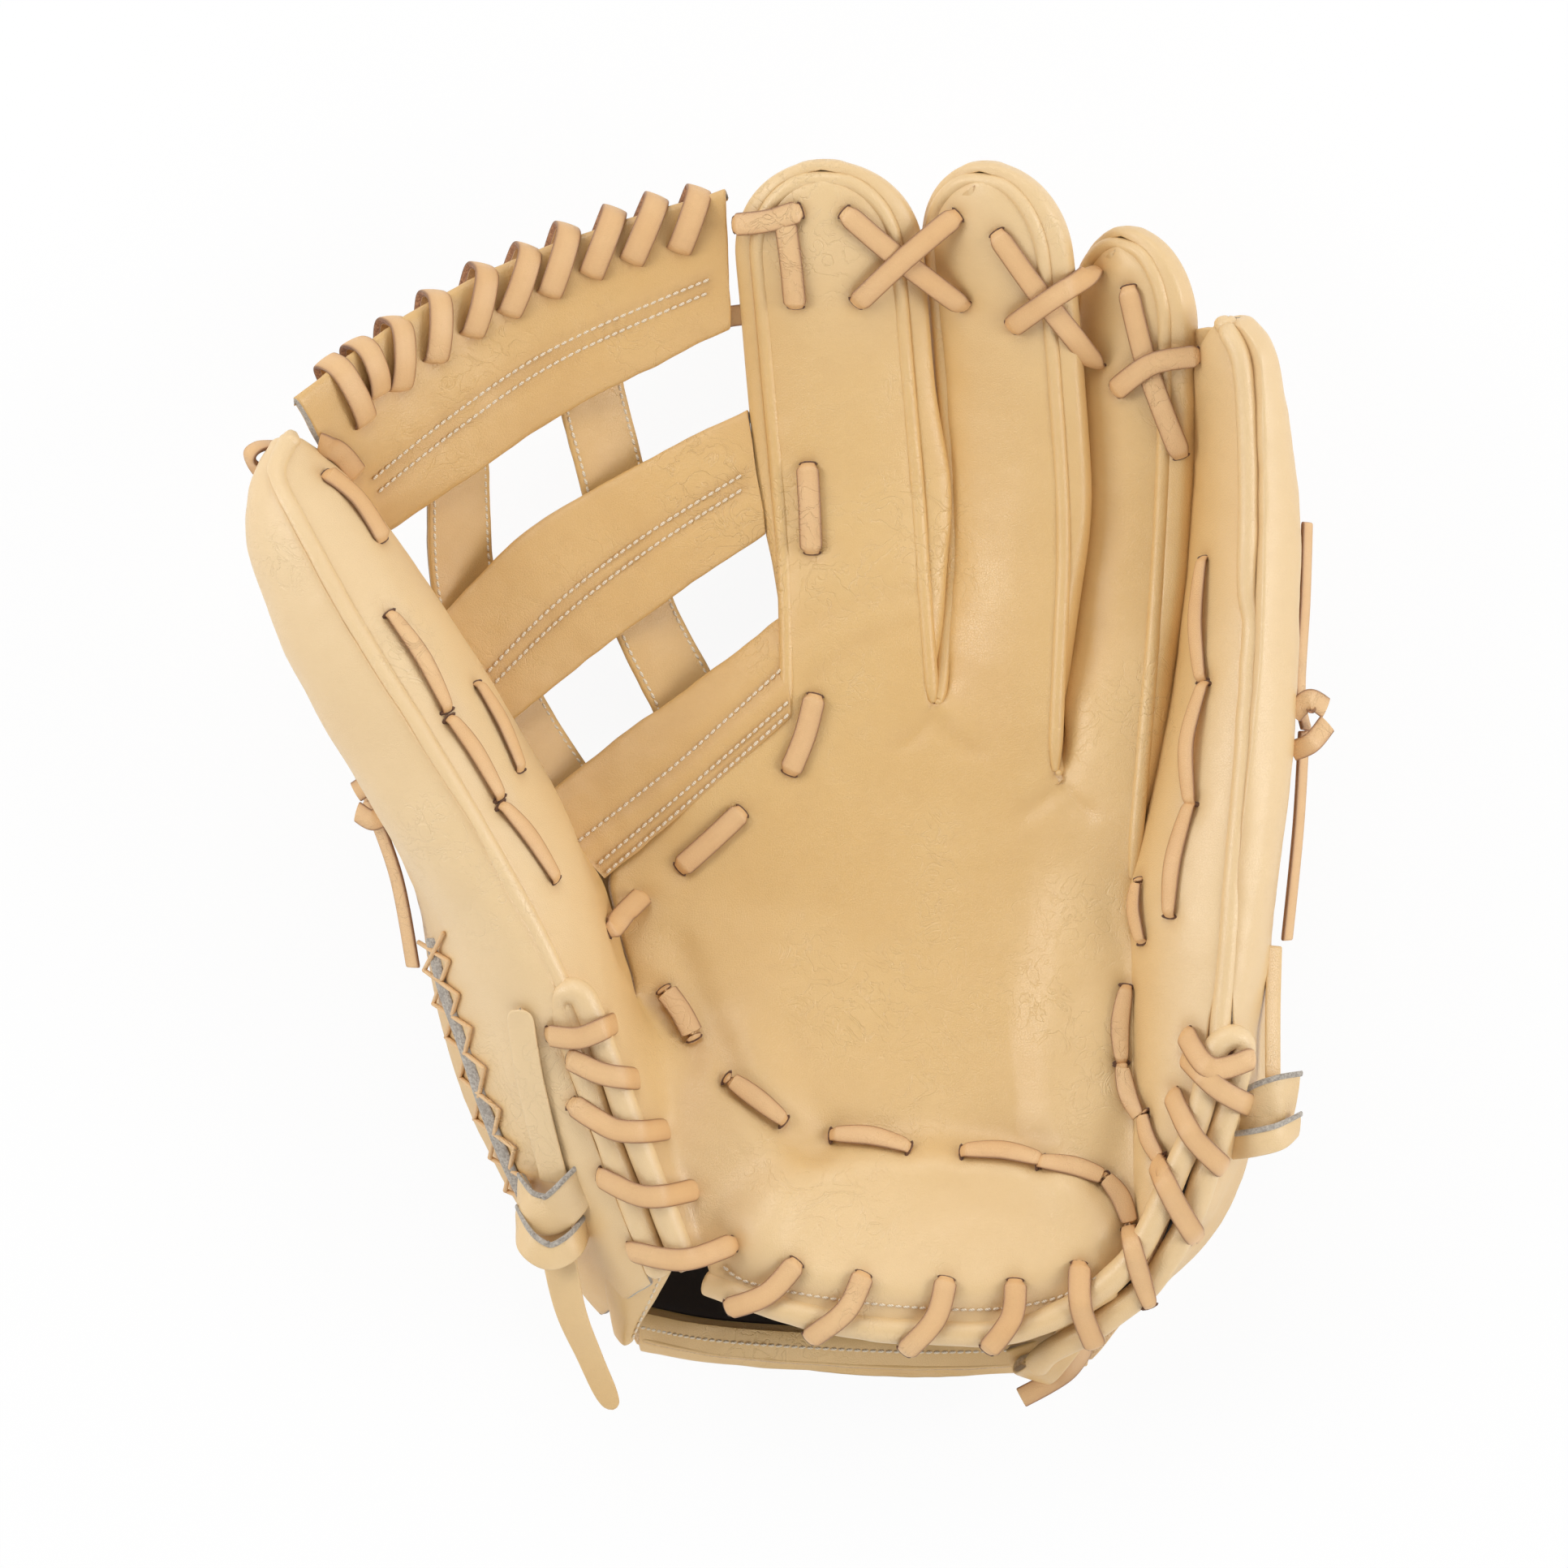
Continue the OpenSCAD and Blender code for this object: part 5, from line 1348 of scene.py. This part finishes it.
palm_lace = strands("palm_lace_strands", PALM_LACE, step=-0.5, taper=crescent)
web_index_lace = strands("web_index_strands", WEB_INDEX_LACE)
web_ties = [strip("tie", [at(*q) for q in tie], [P(0, 0, 1)] * 3, LACE_W, LACE_T) for tie in WEB_TIES]
web_index_lace = joined("web_index_strands", [web_index_lace, *web_ties])
thumb_lace = strands("thumb_strands", THUMB_LACE, width=5.2, taper=crescent, on="thumb")
pinky_lace = strands("pinky_strands", PINKY_LACE, width=5.4, taper=crescent, on="pinky")
finger_lace = crossed("finger_crosses", INDEX_CROSS, MIDDLE_CROSS)
ring_pinky_lace = crossed("ring_pinky_cross", RING_CROSS)


def whip_loop(top, low):
    """Loop of the lace over the upper edge of the top bar."""
    hole, face = seen(*low)
    near = seen(*mix(P(*low), P(*top), 0.7)) or (hole,)
    edge = at(*mix(P(*low), P(*top), 0.86), near[0][2])
    run = unit(edge - hole)
    face = unit(face - run * (face @ run))
    HOLES["web"].append((hole, face, run))
    back = -face * (BAR_T + LACE_T + 0.8)
    route = [hole - face * 3, hole - face * 0.7, hole + face * 1.0 + run * 1.2,
             mix(hole, edge, 0.5) + face * 2.3, edge + face * 1.3,
             edge + run * 2.2 + back * 0.35, edge + run * 1.2 + back, mix(hole, edge, 0.4) + back * 1.1]
    ups = [unit(face - run * 1.4), unit(face - run), unit(face - 0.3 * run), face, unit(face + 0.6 * run),
           run, unit(run - face), -face]
    return strip("loop", route, ups, LACE_W * 1.22, LACE_T * 1.25, steps=40)


whip_lace = joined("web_whip_lace", [whip_loop(*w) for w in WHIPS])
web_thumb_lace = joined("web_thumb_strands", [
    strand(*WEB_FOOT, width=5.2, taper=crescent, on="thumb"), strand(*WEB_TIP, on="thumb"),
    strand(*WEB_END, dip=(False, True), on="thumb"),
    strip("loop", [at(*q) for q in WEB_LOOP], LOOP_UPS, LACE_W, LACE_T)])
thumb_heel_lace = strands("thumb_heel_loops", THUMB_HEEL, step=0.6, on="thumb")
pinky_heel_lace = strands("pinky_heel_loops", PINKY_HEEL, step=0.6, on="pinky")
palm_heel_lace = strands("palm_heel_loops", PALM_HEEL, step=0.6)
strap_loop_path = [band_pt(0.74, 0.7), band_pt(0.755, 0.1) + P(0, -1, 2), *(at(*q) for q in STRAP_LOOP),
                   P(77, -142, 53), P(77, -136, 54)]
strap_loop = strip("loop", strap_loop_path, STRAP_LOOP_UPS, 10, 4, HIDE, HIDE_EDGE, steps=36)
strap_hide = joined("strap_hide", [strap_hide, strap_loop])
heel_tail_path = [P(78, -145.9, 55), P(78.5, -150.5, 43), *(at(*q) for q in HEEL_TAIL)]
heel_tail = strip("heel_lace_tail", heel_tail_path, HEEL_TAIL_UPS, LACE_W, LACE_T, steps=36)


# Pixels and heights of the raw edge, thongs and knots; turns and the pinky's thong count from their knot
EDGE_LINE = (533, 1155), (546, 1215), (570, 1281), (598, 1363), (628, 1437), (655, 1490)
EDGE_OUTER, EDGE_INNER, EDGE_CROSSES = P(-17, 6), P(13, -5), 8
THONG_TIP = (641, 1240), (655, 1330), (686, 1455)
THONG_TONGUE = (682, 1500, 60), (702, 1605, 55), (728, 1670, 48), (757, 1735, 40)
THUMB_TURN = (644, 1464, -4), (652, 1490, 3), (682, 1495, 6), (711, 1464, 9), (726, 1436, 5)
THUMB_LOW_TURN = (642, 1496, -3), (651, 1530, 5), (678, 1548, 6.5), (706, 1532, 6), (722, 1500, -2)
PINKY_THONG = (1568, 1165, -8), (1566, 1246, -6), (1566, 1330, -4)
PINKY_TURN = (1524, 1400, 0), (1548, 1368, 3), (1574, 1354, 3), (1594, 1348, -2)
PINKY_LOW_TURN = (1518, 1412, 0), (1546, 1408, 5), (1575, 1400, 5), (1597, 1384, -1)
THUMB_KNOT_AT, PINKY_KNOT_AT = (690, 1480), (1535, 1370)
THUMB_TAILS = (
    ((356, 765, 52), (395, 850, 54), (440, 940, 54), (458, 985, 55)),
    ((456, 985, 54), (490, 1080, 52), (511, 1192, 48)),
    ((470, 1000, 55), (515, 1050, 54), (538, 1114, 52)))
THUMB_TIES = (
    ((440, 975, 56), (458, 966, 60), (478, 974, 60)), ((442, 1000, 56), (460, 1010, 60), (476, 1000, 60)))
PINKY_TAILS = (
    ((1609, 643, 50), (1606, 740, 50), (1600, 850, 50), (1608, 900, 52)),
    ((1605, 900, 50), (1598, 1020, 48), (1584, 1159, 46)))
PINKY_TIES = (
    ((1592, 880, 56), (1612, 862, 58), (1632, 872, 54)), ((1592, 925, 56), (1615, 915, 58), (1634, 892, 54)))
thumb_edge = strands("thumb_raw_edge", [EDGE_LINE], width=EDGE_W, thick=1.2, face=FLESH, rim=FLESH,
                     dip=(False, False))


def edge_cross(first, last):
    """One pass of the cord over the raw edge, between two pixels of the photograph."""
    route = [mix(first, last, t / 6) for t in range(7)]
    z = draped(route)[1]
    return tube("cross", [at(*q, h + 2.2) for q, h in zip(route, z)], 0.7, RAWHIDE, 6, levels=0)


edge_stops = sampled(EDGE_LINE, EDGE_CROSSES)
edge_thread = joined("edge_cross_thread", [
    edge_cross(a + p, b + q) for a, b in zip(edge_stops, edge_stops[1:])
    for p, q in ((EDGE_OUTER, EDGE_INNER), (EDGE_INNER, EDGE_OUTER))])


def wrapped(stops, width, base):
    """A thong laid over what it ties, through pixels and heights over base, with its grey cut edge."""
    last = len(stops) - 1
    ups = [P(mix(-1, 1, k / last), -0.25, 0.35 + math.sin(math.pi * k / last)) for k in range(last + 1)]
    path = [at(x, y, base + h) for x, y, h in stops]
    line, tops = (np.array(sampled(row, 16)) for row in (path, ups))
    edge = [p + unit(np.cross(up, go)) * (width / 2 - 0.4) + unit(up) * (THONG_T / 2 - 0.1)
            for p, up, go in zip(line, tops, np.gradient(line, axis=0))]
    return [strip("turn", path, ups, width, THONG_T, HIDE, FLESH, steps=36),
            strip("cut", edge, list(tops), 1.7, 0.8, FLESH, FLESH, steps=36)]


def thong_tip(t):
    """Share of the width at the rounded upper end of the thumb's thong."""
    return (cap(1 - t, 1, 0.14) * 0.92 + 0.08) * (0.85 + 0.15 * t)


def tongue_end(t):
    """Share of the width at the rounded lower end of the thumb's thong."""
    return (1 - 0.3 * soft(t * 1.2)) * cap(t, 1, 0.2) * 0.9 + 0.1


thumb_knot_z, pinky_knot_z = seen(*THUMB_KNOT_AT)[0][2], seen(*PINKY_KNOT_AT)[0][2]
tongue_path = [at(*q) for q in THONG_TONGUE]
strap_thong = joined("strap_thong_strips", [
    strand(*THONG_TIP, width=9.4, thick=THONG_T, face=HIDE, rim=FLESH, dip=(False, False), taper=thong_tip),
    *wrapped(THUMB_TURN, 11.5, thumb_knot_z), *wrapped(THUMB_LOW_TURN, 7.6, thumb_knot_z),
    strip("tongue", tongue_path, [P(-0.4, -0.1, 1)] * 4, THONG_W, THONG_T, HIDE, FLESH, taper=tongue_end)])
pinky_thong_path = [at(x, y, pinky_knot_z + h) for x, y, h in PINKY_THONG]
pinky_thong = joined("pinky_thong_strips", [
    strip("thong", pinky_thong_path, [P(0.5, 0, 1)] * 3, 5, THONG_T, HIDE, FLESH),
    *wrapped(PINKY_TURN, 13, pinky_knot_z), *wrapped(PINKY_LOW_TURN, 7.6, pinky_knot_z)])


def hung(stops, out):
    """A lace that hangs beside the glove, through pixels of the photograph with their heights."""
    return strip("tail", [at(*q) for q in stops], [unit(out)] * len(stops), LACE_W, LACE_T, steps=36)


def knot(name, tails, out, ties, tie_out):
    return joined(name, [*(hung(tail, out) for tail in tails), *(hung(tie, tie_out) for tie in ties)])


thumb_knot = knot("thumb_lace_knot", THUMB_TAILS, P(-0.75, -0.45, 0.6), THUMB_TIES, P(-0.3, -0.2, 1))
pinky_knot = knot("pinky_lace_knot", PINKY_TAILS, P(0.9, 0, 0.5), PINKY_TIES, P(0.3, 0, 1))

# Thread along the heel and the strap
flap_thread = sewn("flap_thread", flap_pt, ((0.8, 0.1), (0.84, 0.5), (0.86, 0.9)))
HEEL_ROW = (890, 1560), (925, 1581), (1029, 1601), (1139, 1612), (1224, 1613), (1300, 1600), (1350, 1574)
heel_row = [hit for hit in (seen(*q) for q in sampled(HEEL_ROW, 120)) if hit]
# The heel's stitch row is pressed in, with painted shade along it
pressed(palm_hide, heel_row[::2], 0.22, 1.8, 0.3, 1.4)
heel_points, heel_ups = (np.array([q[k] for q in heel_row]) for k in (0, 1))
heel_thread = stitched("heel_thread", heel_points, heel_ups, -0.1)
strap_thread = sewn("strap_thread", band_pt, ((0.03, 0.5), (0.45, 0.5), (0.85, 0.5)))

# Lace holes draw the leather down, with painted shade round them
for hide in (palm_hide, pinky_hide, top_bar, thumb_back_hide, pinky_back_hide):
    pressed(hide, [h[:2] for holes in HOLES.values() for h in holes], 0.8, 3.4, 0.55, 2.6)
# Dark patches in the slits: painted shadow
slit_model = thread_model(LACE_W * 0.85, 1.6)
slit_shadows = {}
for on, holes in HOLES.items():
    spots = [(p - up * 0.95 - go * 0.25, unit(np.cross(up, go)), up) for p, up, go in holes]
    slit_shadows[on] = repeat(f"{on}_slits", slit_model, spots, DARK)
bpy.data.objects.remove(slit_model)


def creased(hide, depth, reach, lines):
    """Soft wrinkles along pixel lines of the photograph, with painted shade in them."""
    for line in lines:
        spots = [hit for hit in (seen(*q) for q in sampled(line, 24)) if hit]
        pressed(hide, spots, depth, reach, 0.1, reach)


FINE_CREASES = (
    ((1130, 726), (1075, 735), (1005, 765)), ((1124, 768), (1060, 792), (1000, 838)),
    ((1146, 884), (1124, 908), (1096, 924)), ((1158, 888), (1178, 915), (1206, 930)),
    ((1300, 970), (1284, 988), (1258, 1002)), ((1308, 970), (1322, 990), (1345, 1004)))
PALM_FOLDS = (
    ((836, 1160), (868, 1240), (900, 1310)), ((760, 1170), (806, 1240), (862, 1310)),
    ((905, 1330), (960, 1392), (1010, 1420)), ((1010, 1390), (1150, 1404), (1290, 1412)))
creased(palm_hide, 0.099, 2.6, FINE_CREASES)
creased(palm_hide, 0.288, 4.5, PALM_FOLDS)

# Bodies, slots and the solids that the pieces stand for; each bend runs from the palm to the other body
FOLD_MID, FOLD_WAY = P(-30, -76, 46), P(-0.966, -0.257, 0)
THUMB_FOLD = FOLD_MID - FOLD_WAY * 4, FOLD_MID + FOLD_WAY * 9
PINKY_FOLD = P(91, -76, 50), P(99, -76, 50)
POST_BEND, RING_BEND = (P(-6, 70, 36), P(-90, 40, 45)), (P(97, 95, 45), P(110, 92, 50))
TOP_BEND, MIDDLE_BEND = (P(-16, 137, 47), P(-110, 90, 70)), (P(-11, 80, 36), P(-75, 36, 40))
LOW_BEND = P(-6, 28, 34), P(-51, -8, 35)
RIDING = {
    ("palm", "leather"): [
        (palm_roll, "palm_roll"), (knuckle_hide, "knuckle_panel"), (strap_hide, "wrist_strap")],
    ("palm", "lining"): [(palm_liner, "palm_lining"), (strap_liner, "strap_lining")],
    ("palm", "felt"): [(palm_felt, "palm_pad")],
    ("palm", "lace"): [
        (web_index_lace, "web_index_lace"), (finger_lace, "finger_lace"), (palm_heel_lace, "palm_heel_lace"),
        (heel_tail, "heel_tail"), (heel_thread,), (strap_thread,)],
    ("thumb", "leather"): [
        (thumb_back_hide, "thumb_back"), (thumb_piping, "thumb_welt"), (thumb_rolls, "thumb_rolls"),
        (strap_thong, "strap_thong"), (slit_shadows["thumb"],)],
    ("thumb", "lining"): [(thumb_loop, "thumb_loop")],
    ("thumb", "felt"): [(thumb_stay, "thumb_stay")],
    ("thumb", "suede_edge"): [(thumb_edge, "thumb_edge")],
    ("thumb", "lace"): [
        (thumb_lace, "thumb_lace"), (web_thumb_lace, "web_thumb_lace"), (thumb_heel_lace, "thumb_heel_lace"),
        (thumb_knot, "thumb_knot"), (flap_thread,), (edge_thread,)],
    ("pinky", "leather"): [
        (pinky_back_hide, "pinky_back"), (pinky_piping, "pinky_welt"), (pinky_thong, "pinky_thong")],
    ("pinky", "lining"): [(pinky_loop, "pinky_loop")],
    ("pinky", "felt"): [(pinky_stay, "pinky_stay")],
    ("pinky", "lace"): [(pinky_heel_lace, "pinky_heel_lace"), (pinky_knot, "pinky_knot")]}
for name, back, welt in zip(("index", "middle", "ring"), finger_backs, finger_welts):
    RIDING["palm", "leather"] += [(back, f"{name}_back"), (welt, f"{name}_welt")]
BENDING = (
    ("thumb", THUMB_FOLD, "leather", [(palm_hide, "palm_shell", "thumb_front")]),
    ("thumb", TOP_BEND, "leather", [(top_bar, "web_top_bar"), (slit_shadows["web"],)]),
    ("thumb", TOP_BEND, "lace", [(top_thread,), (whip_lace, "web_top_lace")]),
    ("thumb", MIDDLE_BEND, "leather", [(middle_bar, "web_middle_bar")]),
    ("thumb", MIDDLE_BEND, "lace", [(middle_thread,)]),
    ("thumb", LOW_BEND, "leather", [(low_bar, "web_low_bar")]),
    ("thumb", LOW_BEND, "lace", [(low_thread,)]),
    ("thumb", POST_BEND, "leather", [(thumb_post, "web_thumb_post"), (index_post, "web_index_post")]),
    ("thumb", POST_BEND, "lace", [(post_thread,)]),
    ("pinky", PINKY_FOLD, "leather", [
        (pinky_hide, "pinky_front"), (pinky_rolls, "pinky_rolls"), (slit_shadows["palm"],), (slit_shadows["pinky"],)]),
    ("pinky", PINKY_FOLD, "lace", [(palm_lace, "palm_lace"), (pinky_lace, "pinky_lace")]),
    ("pinky", RING_BEND, "lace", [(ring_pinky_lace, "ring_pinky_lace")]))
for (body, slot), pieces in RIDING.items():
    for piece, *nodes in pieces:
        placed(piece, body, slot, *nodes)
for body, bend, slot, pieces in BENDING:
    for piece, *nodes in pieces:
        bent(piece, body, *bend, slot, *nodes)


# Floor, light and sky
def floor_finish():
    made, tree, shader = new_material("pale_floor")
    feed(tree, shader, Base_Color=(0.9, 0.9, 0.9, 1), Roughness=0.9, Specular_IOR_Level=0.1)
    from_camera = node(tree, "ShaderNodeLightPath")
    glow = node(tree, "ShaderNodeEmission", None, {"Color": (1, 1, 1, 1), "Strength": 1.0})
    mixed = node(tree, "ShaderNodeMixShader", None,
                 {0: from_camera * 0.92, 1: Wire(tree, shader.outputs[0]), 2: glow})
    tree.links.new(mixed.socket, tree.nodes["Material Output"].inputs["Surface"])
    return made


bpy.ops.object.select_all(action="DESELECT")
bpy.ops.mesh.primitive_plane_add(size=8)
floor = bpy.context.object
floor.name = "floor"
edit(floor, lambda: bpy.ops.mesh.subdivide(number_cuts=1))
floor.data.materials.append(floor_finish())


def softbox(name, place, size, power):
    lamp = bpy.data.lights.new(name, "AREA")
    lamp.size, lamp.energy = size, power
    made = bpy.data.objects.new(name, lamp)
    bpy.context.scene.collection.objects.link(made)
    made.location = place
    aim = -np.array(place) / np.linalg.norm(place)
    made.rotation_euler = (math.acos(-aim[2]), 0, math.atan2(aim[1], aim[0]) - math.pi / 2)


softbox("left", (-1.35, 0.35, 1.1), 0.9, 11)
softbox("right", (1.35, 0.1, 1.0), 0.9, 11)
softbox("front", (0.1, -1.4, 1.2), 1.2, 5)
softbox("top", (-0.15, 1.3, 1.4), 1.0, 9)
world = bpy.data.worlds.new("studio")
bpy.context.scene.world = world
world.use_nodes = True
sky = world.node_tree
up = node(sky, "ShaderNodeSeparateXYZ", None, {0: node(sky, "ShaderNodeTexCoord", out=0)}, out=2)
glow = ranged(sky, up, 0.1, 0.85, 1.0, 0.25, smooth=True)
sky.links.new(glow.socket, sky.nodes["Background"].inputs["Strength"])
sky.nodes["Background"].inputs["Color"].default_value = (1, 1, 1, 1)
bpy.context.scene.view_settings.view_transform = "Standard"
